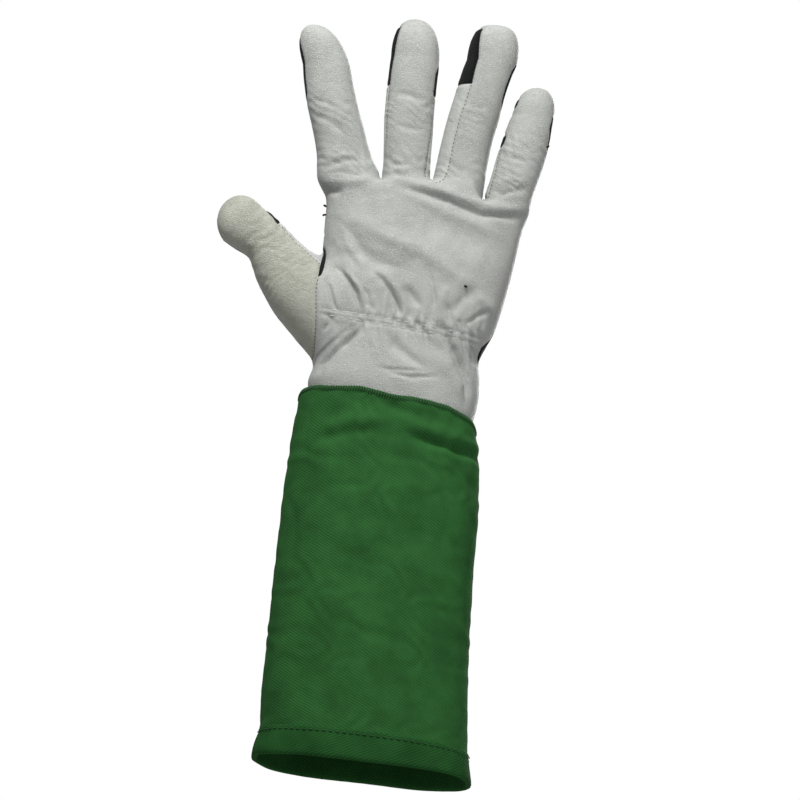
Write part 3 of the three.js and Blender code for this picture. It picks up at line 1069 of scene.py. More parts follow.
def grid_faces(rows: int, columns: int, closed: bool = False) -> Array:
    """Quads of a grid of points.

    Args:
        rows: Rows of points.
        columns: Points in each row.
        closed: Joins the last column to the first.

    Returns:
        The quads as point numbers.
    """
    i, j = np.meshgrid(np.arange(rows - 1), np.arange(columns if closed else columns - 1), indexing="ij")
    a, b = i * columns + j, i * columns + (j + 1) % columns
    return np.stack([a, b, b + columns, a + columns], axis=-1).reshape(-1, 4)


def shell(outer: Array, inner: Array) -> tuple[Array, list[Array]]:
    """Joins two matching open grids of points into one thin wall.

    Args:
        outer: Grid of points on the outer face.
        inner: The same grid on the inner face.

    Returns:
        All points, and the quads of the outer face, the inner face and the rim.
    """
    rows, columns = outer.shape[:2]
    count = rows * columns
    faces = grid_faces(rows, columns)
    edge = np.arange(count).reshape(rows, columns)
    loop = np.concatenate([edge[0], edge[1:, -1], edge[-1, -2::-1], edge[-2:0:-1, 0]])
    ahead = np.roll(loop, -1)
    rim = np.stack([ahead, loop, loop + count, ahead + count], axis=1)
    return np.concatenate([outer.reshape(-1, 3), inner.reshape(-1, 3)]), [faces, faces[:, ::-1] + count, rim]


# ---------------------------------------------------------------- materials


class Nodes:
    """Small helper that adds and joins shader nodes in a tree."""

    def __init__(self, tree: bpy.types.NodeTree) -> None:
        """Works on the given tree."""
        self.tree = tree

    def add(self, kind: str, inputs: dict | None = None, **settings) -> bpy.types.Node:
        """Adds a node.

        Args:
            kind: Node type without the ShaderNode prefix.
            inputs: Values or sockets by input name or number.
            settings: Node properties.

        Returns:
            The node.
        """
        node = self.tree.nodes.new("ShaderNode" + kind)
        for key, value in settings.items():
            setattr(node, key, value)
        for key, value in (inputs or {}).items():
            if isinstance(value, bpy.types.NodeSocket):
                self.tree.links.new(value, node.inputs[key])
            else:
                node.inputs[key].default_value = value
        return node

    def math(self, operation: str, a: Value, b: Value = 0.0, c: Value = 0.0, clamp: bool = False) -> Socket:
        """Result of a math node."""
        return self.add("Math", {0: a, 1: b, 2: c}, operation=operation, use_clamp=clamp).outputs[0]

    def mix(self, factor: Value, a: Value, b: Value, blend: str = "MIX") -> Socket:
        """Result of a colour mix.

        Args:
            factor: Share of the second colour.
            a: First colour.
            b: Second colour.
            blend: Blender's name for the way of mixing.

        Returns:
            The mixed colour.
        """
        node = self.add("Mix", data_type="RGBA", blend_type=blend)
        for key, value in ((0, factor), (6, a), (7, b)):
            if isinstance(value, bpy.types.NodeSocket):
                self.tree.links.new(value, node.inputs[key])
            else:
                node.inputs[key].default_value = value
        return node.outputs[2]

    def spread(
        self, value: Socket, low: float, high: float, to_low: float = 0.0, to_high: float = 1.0
    ) -> Socket:
        """Smooth remapping of a value between two ranges.

        Args:
            value: Value to remap.
            low: Value that gives to_low.
            high: Value that gives to_high.
            to_low: Lower result.
            to_high: Upper result.

        Returns:
            The remapped value.
        """
        limits = {0: value, 1: low, 2: high, 3: to_low, 4: to_high}
        return self.add("MapRange", limits, interpolation_type="SMOOTHSTEP").outputs[0]

    def wave(self, value: Socket, period: float) -> Socket:
        """Sine wave of a value, one wave to each period."""
        return self.math("SINE", self.math("MULTIPLY", value, 2 * math.pi / period))

    def warped(self, place: Socket, scale: float, detail: float, amount: float) -> Socket:
        """Coordinates pushed about by a noise.

        Args:
            place: Coordinates.
            scale: Bumps to each millimetre.
            detail: Finer layers of the noise.
            amount: How far the noise pushes.

        Returns:
            The new coordinates.
        """
        noise = self.add("TexNoise", {"Vector": place, "Scale": scale, "Detail": detail}).outputs[1]
        push = self.add("VectorMath", {0: noise, 1: (amount,) * 3}, operation="MULTIPLY").outputs[0]
        return self.add("VectorMath", {0: place, 1: push}, operation="ADD").outputs[0]

    def turned(self, vector: Socket, degrees: float, scale: tuple[float, float, float]) -> Socket:
        """Coordinates turned in the front plane and then scaled.

        Args:
            vector: Coordinates.
            degrees: Turn about the axis front to back.
            scale: Scale along each axis.

        Returns:
            The new coordinates.
        """
        place = {"Vector": vector, "Rotation": (0, math.radians(degrees), 0), "Scale": scale}
        return self.add("Mapping", place, vector_type="POINT").outputs[0]

    def noise(self, vector: Socket, scale: float, detail: float = 2.0, roughness: float = 0.5) -> Socket:
        """Value of a noise texture.

        Args:
            vector: Coordinates.
            scale: Bumps to each millimetre.
            detail: Finer layers.
            roughness: Weight of the finer layers.

        Returns:
            The noise value.
        """
        values = {"Vector": vector, "Scale": scale, "Detail": detail, "Roughness": roughness}
        return self.add("TexNoise", values).outputs[0]


def group(
    name: str, inputs: dict[str, str], outputs: dict[str, str]
) -> tuple[bpy.types.NodeTree, Nodes, dict[str, Socket], dict[str, Socket]]:
    """Makes an empty node group.

    Args:
        name: Name of the group.
        inputs: Socket types by name.
        outputs: Socket types by name.

    Returns:
        The group, its node helper, its input sockets and its output sockets.
    """
    tree = bpy.data.node_groups.new(name, "ShaderNodeTree")
    for label, kind in inputs.items():
        tree.interface.new_socket(label, in_out="INPUT", socket_type="NodeSocket" + kind)
    for label, kind in outputs.items():
        tree.interface.new_socket(label, in_out="OUTPUT", socket_type="NodeSocket" + kind)
    start, end = tree.nodes.new("NodeGroupInput"), tree.nodes.new("NodeGroupOutput")
    return tree, Nodes(tree), {k: start.outputs[k] for k in inputs}, {k: end.inputs[k] for k in outputs}


def leather_grain_group() -> bpy.types.NodeTree:
    """Pebbled grain with fine directional creases and painted shade in the valleys between pebbles, in
    millimetres.

    Returns:
        The group.
    """
    tree, n, start, end = group(
        "leather_grain", {"Place": "Vector"}, {"Height": "Float", "Valley_shade": "Float", "Tone": "Float"}
    )
    place = start["Place"]
    moved = n.warped(place, 0.35, 2.0, 2.2)
    stretched = n.turned(moved, 32, (0.75, 1.0, 1.25))
    cells = {"Vector": stretched, "Scale": 1.15, "Randomness": 1.0}
    pebble = n.spread(n.add("TexVoronoi", cells, feature="DISTANCE_TO_EDGE").outputs[0], 0.0, 0.32)
    fine = n.noise(moved, 2.4, 3.0, 0.6)
    creases = n.noise(n.turned(moved, 30, (0.22, 0.5, 0.95)), 1.0, 3.0, 0.62)
    lines = n.spread(n.math("ABSOLUTE", n.math("SUBTRACT", creases, 0.5)), 0.0, 0.07)
    patch = n.spread(n.noise(place, 0.07, 2.0), 0.30, 0.70, 0.45, 1.0)
    lines = n.math("ADD", 1.0, n.math("MULTIPLY", n.math("SUBTRACT", lines, 1.0), patch))
    height = n.math("ADD", n.math("MULTIPLY", pebble, 0.5), n.math("MULTIPLY", fine, 0.2))
    height = n.math("ADD", height, n.math("MULTIPLY", lines, 0.34))
    stain = n.math("MULTIPLY", n.noise(place, 0.03, 4.0, 0.6), 0.6)
    tone = n.math("ADD", stain, n.math("MULTIPLY", fine, 0.4))
    # Painted shade: the valleys between the pebbles, where the leather's colour is darkened.
    valley_shade = n.math("MULTIPLY", n.math("SUBTRACT", 1.0, pebble), n.math("ADD", 0.4, patch))
    n.tree.links.new(height, end["Height"])
    n.tree.links.new(valley_shade, end["Valley_shade"])
    n.tree.links.new(tone, end["Tone"])
    return tree


TWILL_RIB, TWILL_YARN, TWILL_SLOPE = 1.5, 1.05, 0.545      # millimetres between ribs and yarns
KNIT_COLUMN, KNIT_ROW = 0.9, 0.8                           # millimetres between loops


def twill_group() -> bpy.types.NodeTree:
    """Twill weave: slanting ribs crossed by single yarns, in millimetres.

    Returns:
        The group.
    """
    outputs = dict.fromkeys(("Height", "Rib", "Fleck", "Tone"), "Float")
    tree, n, start, end = group("twill_weave", {"Place": "Vector"}, outputs)
    place = start["Place"]
    moved = n.warped(place, 0.12, 3.0, 1.3)
    parts = n.add("SeparateXYZ", {0: moved}).outputs
    across = n.math("MULTIPLY_ADD", parts[0], TWILL_SLOPE, parts[1])
    rib = n.math("MULTIPLY_ADD", n.wave(across, TWILL_RIB), 0.5, 0.5)
    yarn = n.math("MULTIPLY_ADD", parts[0], 0.95, n.math("MULTIPLY", parts[1], 0.35))
    yarn = n.math("MULTIPLY_ADD", n.wave(yarn, TWILL_YARN), 0.5, 0.5)
    lint = n.noise(moved, 2.8, 3.0, 0.7)
    body = n.math("MULTIPLY", rib, n.math("MULTIPLY_ADD", yarn, 0.55, 0.45))
    n.tree.links.new(n.math("MULTIPLY_ADD", lint, 0.35, body), end["Height"])
    n.tree.links.new(n.math("MULTIPLY", body, n.math("MULTIPLY_ADD", lint, 1.2, 0.4), clamp=True), end["Rib"])
    n.tree.links.new(n.spread(lint, 0.55, 0.72), end["Fleck"])
    n.tree.links.new(n.noise(place, 0.05, 4.0, 0.6), end["Tone"])
    return tree


def knit_group() -> bpy.types.NodeTree:
    """Fine stretch knit, in millimetres.

    Returns:
        The group.
    """
    tree, n, start, end = group("knit", {"Place": "Vector"}, {"Height": "Float", "Lint": "Float"})
    parts = n.add("SeparateXYZ", {0: start["Place"]}).outputs
    column = n.wave(parts[0], KNIT_COLUMN)
    slant = n.math("MULTIPLY_ADD", n.math("ABSOLUTE", column), 0.5, parts[2])
    row = n.wave(slant, KNIT_ROW)
    height = n.math("ADD", n.math("MULTIPLY", n.math("ABSOLUTE", column), 0.6), n.math("MULTIPLY", row, 0.4))
    n.tree.links.new(height, end["Height"])
    n.tree.links.new(n.noise(start["Place"], 1.7, 3.0, 0.7), end["Lint"])
    return tree


@dataclass(frozen=True)
class Look:
    """Colours of one material, dark to light, and its surface."""

    name: str
    dark: tuple[float, float, float]
    light: tuple[float, float, float]
    roughness: tuple[float, float]
    bump: float
    sheen: float
    gloss: float


class Materials:
    """The glove's materials, made once from shared node groups."""

    def __init__(self) -> None:
        """Makes the shared groups."""
        self.grain, self.twill, self.knit = leather_grain_group(), twill_group(), knit_group()

    def _start(self, look: Look) -> tuple[bpy.types.Material, Nodes, bpy.types.Node, bpy.types.NodeSocket]:
        """New material with its shader and its rest coordinates.

        Args:
            look: The material's colours and surface.

        Returns:
            The material, its node helper, its shader and its rest coordinates.
        """
        material = bpy.data.materials.new(look.name)
        material.use_nodes = True
        tree = material.node_tree
        tree.nodes.clear()
        n = Nodes(tree)
        shader = n.add("BsdfPrincipled", {"Sheen Weight": look.sheen, "Sheen Roughness": 0.5, "IOR": 1.45,
                                          "Specular IOR Level": look.gloss})
        shader.inputs["Sheen Tint"].default_value = (1.0, 1.0, 1.0, 1.0)
        output = n.add("OutputMaterial")
        tree.links.new(shader.outputs[0], output.inputs[0])
        material.diffuse_color = (*look.light, 1.0)
        place = n.add("Attribute", attribute_name="rest", attribute_type="GEOMETRY").outputs["Vector"]
        return material, n, shader, place

    def _finish(
        self, n: Nodes, shader: bpy.types.Node, look: Look, colour: Socket, height: Socket, rough: Socket
    ) -> None:
        """Joins colour, roughness and bump to the shader.

        Args:
            n: Node helper of the material.
            shader: The shader.
            look: The material's colours and surface.
            colour: Base colour.
            height: Height of the relief.
            rough: Value from 0 to 1 between the two roughnesses.
        """
        n.tree.links.new(colour, shader.inputs["Base Color"])
        first, last = look.roughness
        roughness = n.math("MULTIPLY_ADD", rough, last - first, first, clamp=True)
        n.tree.links.new(roughness, shader.inputs["Roughness"])
        bump = n.add("Bump", {"Strength": 1.0, "Distance": look.bump * MM, "Height": height})
        n.tree.links.new(bump.outputs[0], shader.inputs["Normal"])

    def _group(self, n: Nodes, tree: bpy.types.NodeTree, place: Socket) -> bpy.types.bpy_prop_collection:
        """Outputs of a shared group at the given coordinates.

        Args:
            n: Node helper of the material.
            tree: The shared group.
            place: Coordinates.

        Returns:
            The group node's outputs.
        """
        node = n.add("Group", {}, node_tree=tree)
        n.tree.links.new(place, node.inputs[0])
        return node.outputs

    def leather(self, look: Look) -> bpy.types.Material:
        """Pebbled leather.

        Args:
            look: Its colours and surface.

        Returns:
            The material.
        """
        material, n, shader, place = self._start(look)
        out = self._group(n, self.grain, place)
        colour = n.mix(n.spread(out["Tone"], 0.35, 0.65), (*look.dark, 1), (*look.light, 1))
        # Painted shade: darkens the colour in the valleys between the pebbles.
        shade = n.math("MULTIPLY", out["Valley_shade"], 0.42, clamp=True)
        colour = n.mix(shade, colour, (*(0.55 * v for v in look.dark), 1))
        self._finish(n, shader, look, colour, out["Height"], out["Tone"])
        return material

    def woven(self, look: Look) -> bpy.types.Material:
        """Twill cloth.

        Args:
            look: Its colours and surface.

        Returns:
            The material.
        """
        material, n, shader, place = self._start(look)
        out = self._group(n, self.twill, place)
        colour = n.mix(out["Rib"], (*look.dark, 1), (*look.light, 1))
        colour = n.mix(n.math("MULTIPLY", out["Fleck"], 0.30), colour, (*(1.7 * v for v in look.light), 1))
        tone = n.spread(out["Tone"], 0.3, 0.7, 0.82, 1.12)
        colour = n.mix(1.0, colour, n.add("CombineXYZ", {0: tone, 1: tone, 2: tone}).outputs[0], "MULTIPLY")
        self._finish(n, shader, look, colour, out["Height"], out["Rib"])
        return material

    def knitted(self, look: Look) -> bpy.types.Material:
        """Stretch knit.

        Args:
            look: Its colours and surface.

        Returns:
            The material.
        """
        material, n, shader, place = self._start(look)
        out = self._group(n, self.knit, place)
        colour = n.mix(n.spread(out["Lint"], 0.45, 0.75), (*look.dark, 1), (*look.light, 1))
        self._finish(n, shader, look, colour, out["Height"], out["Lint"])
        return material

    def yarn(self, look: Look) -> bpy.types.Material:
        """Sewing thread, twisted along its length.

        Args:
            look: Its colours and surface.

        Returns:
            The material.
        """
        material, n, shader, place = self._start(look)
        twist = n.noise(place, 3.0, 2.0, 0.6)
        colour = n.mix(twist, (*look.dark, 1), (*look.light, 1))
        self._finish(n, shader, look, colour, twist, twist)
        return material


LOOKS = {
    "grey": Look(
        "soft_grey_leather", (0.318, 0.326, 0.308), (0.365, 0.373, 0.355), (0.62, 0.5), 0.22, 0.05, 0.35
    ),
    "strip": Look(
        "pale_grey_leather", (0.36, 0.37, 0.348), (0.40, 0.407, 0.385), (0.62, 0.5), 0.2, 0.05, 0.35
    ),
    "thumb": Look(
        "cream_grey_leather", (0.328, 0.336, 0.283), (0.376, 0.382, 0.329), (0.66, 0.54), 0.3, 0.05, 0.3
    ),
    "black": Look(
        "black_stretch_knit", (0.0028, 0.0028, 0.0032), (0.0075, 0.0075, 0.0085), (0.95, 0.8), 0.18, 0.06,
        0.06,
    ),
    "twill": Look(
        "green_twill", (0.0180, 0.075, 0.0187), (0.0235, 0.093, 0.0248), (0.92, 0.8), 0.13, 0.0, 0.03
    ),
    # Hem twill: the same cloth as the panels, made darker as painted shade of the cuff's lower end, where
    # less light falls.
    "hem": Look(
        "green_twill_hem_painted_shade", (0.0105, 0.050, 0.0115), (0.0165, 0.071, 0.0185), (0.92, 0.8), 0.15, 0.0, 0.03
    ),
    "elastic": Look("white_elastic", (0.42, 0.42, 0.38), (0.62, 0.62, 0.58), (0.9, 0.75), 0.3, 0.05, 0.2),
    # Seam thread: its dark grey is partly the thread's colour and partly painted shade of the needle holes
    # and the gaps between the pieces.
    "grey_thread": Look(
        "dark_seam_thread_and_painted_hole_shade", (0.035, 0.037, 0.034), (0.10, 0.105, 0.095), (0.8, 0.6), 0.03, 0.0, 0.2
    ),
    "pale_thread": Look(
        "pale_sewing_thread", (0.40, 0.41, 0.39), (0.55, 0.56, 0.54), (0.8, 0.6), 0.03, 0.0, 0.2
    ),
    "green_thread": Look(
        "green_sewing_thread", (0.010, 0.040, 0.012), (0.030, 0.092, 0.032), (0.8, 0.6), 0.05, 0.05, 0.1
    ),
    "black_thread": Look(
        "black_sewing_thread", (0.004, 0.004, 0.005), (0.012, 0.012, 0.013), (0.8, 0.6), 0.03, 0.0, 0.1
    ),
}


# ---------------------------------------------------------------- the hand's pieces


@dataclass(frozen=True)
class Bend:
    """The joint that a piece bends across, and the two points between which it turns, in millimetres."""

    parent: str
    child: str
    start: tuple[float, float, float]
    end: tuple[float, float, float]

    def apply(self, obj: bpy.types.Object) -> None:
        """Bakes the piece's transform into its mesh; the start and end points are not used."""
        Vector(self.start) * MM
        Vector(self.end) * MM
        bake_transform(obj)


@dataclass(frozen=True)
class Region:
    """One cut piece of the hand's skin."""

    label: int
    name: str
    sheet: Sheet
    look: str
    slot: Slot
    bend: Bend
    stands_for: tuple[str, ...]


def level(low: float, high: float) -> tuple[tuple[float, float, float], tuple[float, float, float]]:
    """Two points straight above each other."""
    return (0.0, 0.0, low), (0.0, 0.0, high)


WRIST_BEND = Bend("gauntlet", "hand", *level(200, 224))
HAND_BACK, HAND_FRONT = 0, 1
THUMB_LABEL, FINGER_LABEL = 100, 200
THUMB_SPLIT = 32.0


def finger_bends() -> dict[str, tuple[float, Bend, Bend]]:
    """Height of the cut between the lower and upper parts of each finger, and how each part bends.

    Returns:
        For each finger, the cut's height and the bends of its lower and upper parts.
    """
    rows = {"index": (335, 316, 332, 338, 356), "middle": (337.5, 316, 334, 341, 359),
            "ring": (337.5, 316, 334, 341, 359), "little": (328.5, 311, 327, 330, 346)}
    out = {}
    for name, (cut, a, b, c, d) in rows.items():
        lower, upper = f"{name}_lower", f"{name}_upper"
        out[name] = (cut, Bend("hand", lower, *level(a, b)), Bend(lower, upper, *level(c, d)))
    s, c = math.sin(THUMB_LEAN), math.cos(THUMB_LEAN)
    points = [(THUMB_ROOT[0] - s * t, 0.0, THUMB_ROOT[1] + c * t) for t in (34.0, 50.0)]
    out["thumb"] = (
        THUMB_SPLIT,
        Bend("hand", "thumb_lower", (-45.5, 0.0, 246.0), (-57.0, 0.0, 246.0)),
        Bend("thumb_lower", "thumb_upper", points[0], points[1]),
    )
    return out


STRIPS = {"index": ("right",), "middle": ("left", "right"), "ring": ("left", "right"), "little": ("left",),
          "thumb": ("right",)}


@dataclass
class HandPieces:
    """Cuts the hand's skin into its sewn pieces and builds each one."""

    materials: dict[str, bpy.types.Material]
    form: HandForm = field(default_factory=HandForm)
    regions: list[Region] = field(default_factory=list)
    grid_step: float = 1.6
    seam_depth: float = 0.5
    seam_puff: float = 0.16
    stitch_pitch: float = 2.15
    half_stitch: float = 0.62
    thread: float = 0.21
    loose_thread: float = 0.56

    def __post_init__(self) -> None:
        """Shapes the skin that the pieces are cut from."""
        self.skin = self.form.skin(self.grid_step)

    @staticmethod
    def thumb_side(p: Array) -> Array:
        """Positive on the thumb's side of its upright seam.

        Args:
            p: Points in millimetres.

        Returns:
            Signed distances.
        """
        upright = p[:, 0] + 44 + 1.4 * bell(p[:, 2] - 250, 13.0)
        edge = np.maximum(upright, p[:, 2] - 290 + 0.7 * (p[:, 0] + 55))
        return -np.maximum(edge, 216 - p[:, 2])

    @staticmethod
    def finger_side(p: Array) -> Array:
        """Positive above the line where the fingers leave the hand."""
        return p[:, 2] - 313 + 5 * smoothstep(p[:, 0], 34, 40)

    @staticmethod
    def palm_side(p: Array) -> Array:
        """Positive on the palm's leather, whose seams lie just behind the hand's outline.

        Args:
            p: Points in millimetres.

        Returns:
            Signed distances.
        """
        x, y, z = p.T
        right = 3.0 - 11.5 * bell(z - 226, 7.5) * smoothstep(x, 20, 40)
        left = 2.0 - 8.5 * bell(z - 266, 9.0)
        seam_y = smoothstep(x, -10, 10) * (right - left) + left - y
        gusset = 2.7 * np.sqrt(np.clip(1 - ((z - 266) / 9.5) ** 2, 0, 1))
        return np.minimum(seam_y, np.where(gusset > 0, x + 45 - gusset, 99.0))

    def nearest(self, finger: Finger) -> Field:
        """Field that is positive where a finger is the nearest one."""
        others = [f for f in FINGERS if f is not finger]
        return lambda p: np.minimum.reduce([f.value(p) for f in others]) - finger.value(p)

    def cut(self) -> None:
        """Cuts the skin along every seam and joint."""
        skin = self.skin
        skin.split(self.thumb_side, 0, THUMB_LABEL)
        skin.split(self.finger_side, 0, FINGER_LABEL)
        skin.split(self.palm_side, HAND_BACK, HAND_FRONT)
        front = ("wrist_leather", "wrist_leather_fold", "palm_leather")
        back = ("wrist_back_fabric", "wrist_fabric_fold", "back_fabric")
        self.regions += [
            Region(HAND_FRONT, "palm_leather_skin", Sheet.FRONT, "grey", Slot.LEATHER, WRIST_BEND, front),
            Region(HAND_BACK, "hand_back_knit", Sheet.BACK, "black", Slot.FABRIC, WRIST_BEND, back),
        ]
        bends = finger_bends()
        self.cut_tube(THUMB, THUMB_LABEL, bends["thumb"])
        for number, finger in enumerate(FINGERS):
            label = FINGER_LABEL + 10 * (number + 1)
            skin.split(self.nearest(finger), FINGER_LABEL, label)
            self.cut_tube(finger, label, bends[finger.name])

    def cut_tube(self, finger: Finger, label: int, bends: tuple[float, Bend, Bend]) -> None:
        """Cuts one finger into its lower and upper parts and its sheets.

        Args:
            finger: The finger to cut.
            label: Its label on the skin.
            bends: Height of its middle cut and the bends of its two parts.
        """
        skin = self.skin
        height, lower, upper = bends
        skin.split(lambda p: finger.place(p)[2] - height, label, label + 5)
        sides = STRIPS[finger.name]
        for part, start, bend in (("lower", label, lower), ("upper", label + 5, upper)):
            skin.split(finger.front, start, start + 1)
            skin.split(finger.back, start, start + 2)
            skin.split(lambda p: finger.tube.turn(*finger.place(p)), start, start + 3)
            if "left" not in sides:
                skin.labels[skin.labels == start] = start + 2
            if "right" not in sides:
                skin.labels[skin.labels == start + 3] = start + 2
            name = f"{finger.name}_{part}"
            front = [f"{name}_front"]
            if part == "lower":
                front += [f"{finger.name}_base_fold", f"{finger.name}_middle_fold"]
            look, slot = ("thumb", Slot.THUMB) if finger.thumb else ("grey", Slot.LEATHER)
            self.regions += [
                Region(start + 1, f"{name}_leather", Sheet.FRONT, look, slot, bend, tuple(front)),
                Region(start + 2, f"{name}_knit", Sheet.BACK, "black", Slot.FABRIC, bend, (f"{name}_back",)),
            ]
            for side, own in (("left", start), ("right", start + 3)):
                node = f"{name}_strip" if finger.thumb else f"{name}_{side}_strip"
                stands_for = (node,) if part == "lower" else ()
                self.regions.append(
                    Region(own, f"{name}_{side}_fork", Sheet.STRIP, "strip", Slot.LEATHER, bend, stands_for)
                )

    def seam_edges(self) -> tuple[Array, Array]:
        """Edges where different sheets meet, and the labels of their two sides.

        Returns:
            The edges, and the two labels of each.
        """
        sheets = {r.label: (r.sheet, r.slot) for r in self.regions}
        kinds = sorted({str(v) for v in sheets.values()})
        number = {label: kinds.index(str(v)) for label, v in sheets.items()}
        faces, labels = self.skin.faces, self.skin.labels
        edges = triangle_edges(faces)
        owner = np.tile(labels, 3)
        order = np.lexsort((edges[:, 1], edges[:, 0]))
        edges, owner = edges[order], owner[order]
        same = (edges[1:] == edges[:-1]).all(axis=1)
        pairs, sides = edges[:-1][same], np.stack([owner[:-1][same], owner[1:][same]], axis=1)
        lookup = np.vectorize(lambda k: number.get(k, -1))
        differ = lookup(sides[:, 0]) != lookup(sides[:, 1])
        return pairs[differ], sides[differ]

    def build(self) -> list[bpy.types.Object]:
        """Builds every piece of the hand.

        Returns:
            The finished objects.
        """
        self.cut()
        skin = self.skin
        edges, sides = self.seam_edges()
        used = np.unique(edges)
        tree = KDTree(len(used))
        for k, point in enumerate(skin.points[used]):
            tree.insert(point, k)
        tree.balance()
        distance = np.array([tree.find(point)[2] for point in skin.points])
        normal = skin.normals()
        height = relief(skin.points, normal)
        height -= self.seam_depth * bell(distance, 0.75) - self.seam_puff * bell(distance - 2.2, 1.4)
        skin.points = skin.points + normal * height[:, None]
        normal = skin.normals()
        made = []
        for region in self.regions:
            faces = skin.faces[skin.labels == region.label]
            if len(faces):
                made.append(self.piece(region, faces, normal, edges, sides))
        return made

    def piece(
        self, region: Region, faces: Array, normal: Array, edges: Array, sides: Array
    ) -> bpy.types.Object:
        """Builds one piece with its wall and its stitches.

        Args:
            region: What the piece is.
            faces: Its triangles on the skin.
            normal: Normals of the whole skin.
            edges: Seam edges of the whole skin.
            sides: Labels on both sides of each seam edge.

        Returns:
            The piece.
        """
        used, inverse = np.unique(faces, return_inverse=True)
        inverse = inverse.reshape(-1, 3)
        outer, out = self.skin.points[used], normal[used]
        wall = KNIT_WALL if region.sheet is Sheet.BACK else LEATHER_WALL
        count = len(used)
        rim = np.concatenate([inverse[:, [0, 1]], inverse[:, [1, 2]], inverse[:, [2, 0]]])
        _, first, times = np.unique(np.sort(rim, axis=1), axis=0, return_index=True, return_counts=True)
        rim = rim[first[times == 1]]
        quads = np.stack([rim[:, 1], rim[:, 0], rim[:, 0] + count, rim[:, 1] + count], axis=1)
        points = np.concatenate([outer, outer - out * wall])
        walls = [inverse, inverse[:, ::-1] + count, quads]
        shape = Shape(points, walls, [0, 0, 0], np.concatenate([out, -out]))
        if region.sheet is Sheet.FRONT:
            mine = edges[(sides == region.label).any(axis=1)]
            for line in chains(mine):
                self.sew(shape, self.skin.points[line], normal[line])
        for path in LOOSE_ENDS.get(region.name, ()):
            points, quads = thread(smooth_path(np.array(path, float), 14), self.loose_thread)
            shape.add(points, quads, 2)
        # The seam stitches' dark thread is partly painted shade of the needle holes.
        looks = [self.materials[k] for k in (region.look, "grey_thread", "black_thread")]
        obj = shape.build(region.name, looks, region.slot)
        region.bend.apply(obj)
        if region.stands_for:
            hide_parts(*region.stands_for)
        return obj

    def sew(self, shape: Shape, line: Array, normal: Array) -> None:
        """Adds a row of short stitches along a seam.

        Args:
            shape: The piece to sew.
            line: Points along the seam.
            normal: Normals at those points.
        """
        at, way = spaced(line, self.stitch_pitch)
        if not len(at):
            return
        near = ((at[:, None] - line[None]) ** 2).sum(axis=2).argmin(axis=1)
        for point, along, out in zip(at, way, normal[near]):
            path = point + along * np.linspace(-self.half_stitch, self.half_stitch, 5)[:, None]
            path = path + out * (0.08 - 0.16 * np.linspace(-1, 1, 5) ** 4)[:, None]
            points, quads = thread(path, self.thread, 5)
            shape.add(points, quads, 1)


def smooth_path(points: Array, count: int) -> Array:
    """Rounded path through a few points.

    Args:
        points: Corners of the path.
        count: Points wanted.

    Returns:
        The rounded path.
    """
    at = np.linspace(0, len(points) - 1, count)
    line = np.stack([np.interp(at, np.arange(len(points)), points[:, k]) for k in range(3)], axis=1)
    for _ in range(3):
        line[1:-1] = (line[:-2] + 2 * line[1:-1] + line[2:]) / 4
    return line


LOOSE_ENDS = {
    "palm_leather_skin": (
        ((-44.2, -3, 296.9), (-45.3, -4, 297.5), (-45.8, -4, 297.0)),
        ((-44.0, -3, 292.7), (-45.2, -4, 292.4), (-45.8, -4, 291.7)),
        ((31.0, -20.3, 257.6), (31.7, -20.7, 257.4), (32.5, -20.3, 257.0)),
    ),
    "little_upper_leather": (((66.3, -3, 338.6), (68.2, -4, 339.2), (69.0, -4, 340.2)),),
}


# ---------------------------------------------------------------- the cuff


# Hem's cross-section: distance out from the cuff's face, and share of the way up from the mouth.
HEM_PROFILE = (
    (-1.7, 1.0), (-1.9, 0.93), (-2.0, 0.6), (-2.0, 0.3), (-2.0, 0.1), (-1.8, 0.02), (-1.2, -0.035),
    (-0.3, -0.05), (0.5, -0.02), (0.9, 0.05), (1.0, 0.14), (0.95, 0.3), (0.95, 0.45), (0.95, 0.6),
    (0.9, 0.75), (0.75, 0.86), (0.8, 0.94), (0.7, 0.99), (0.3, 1.01),
)


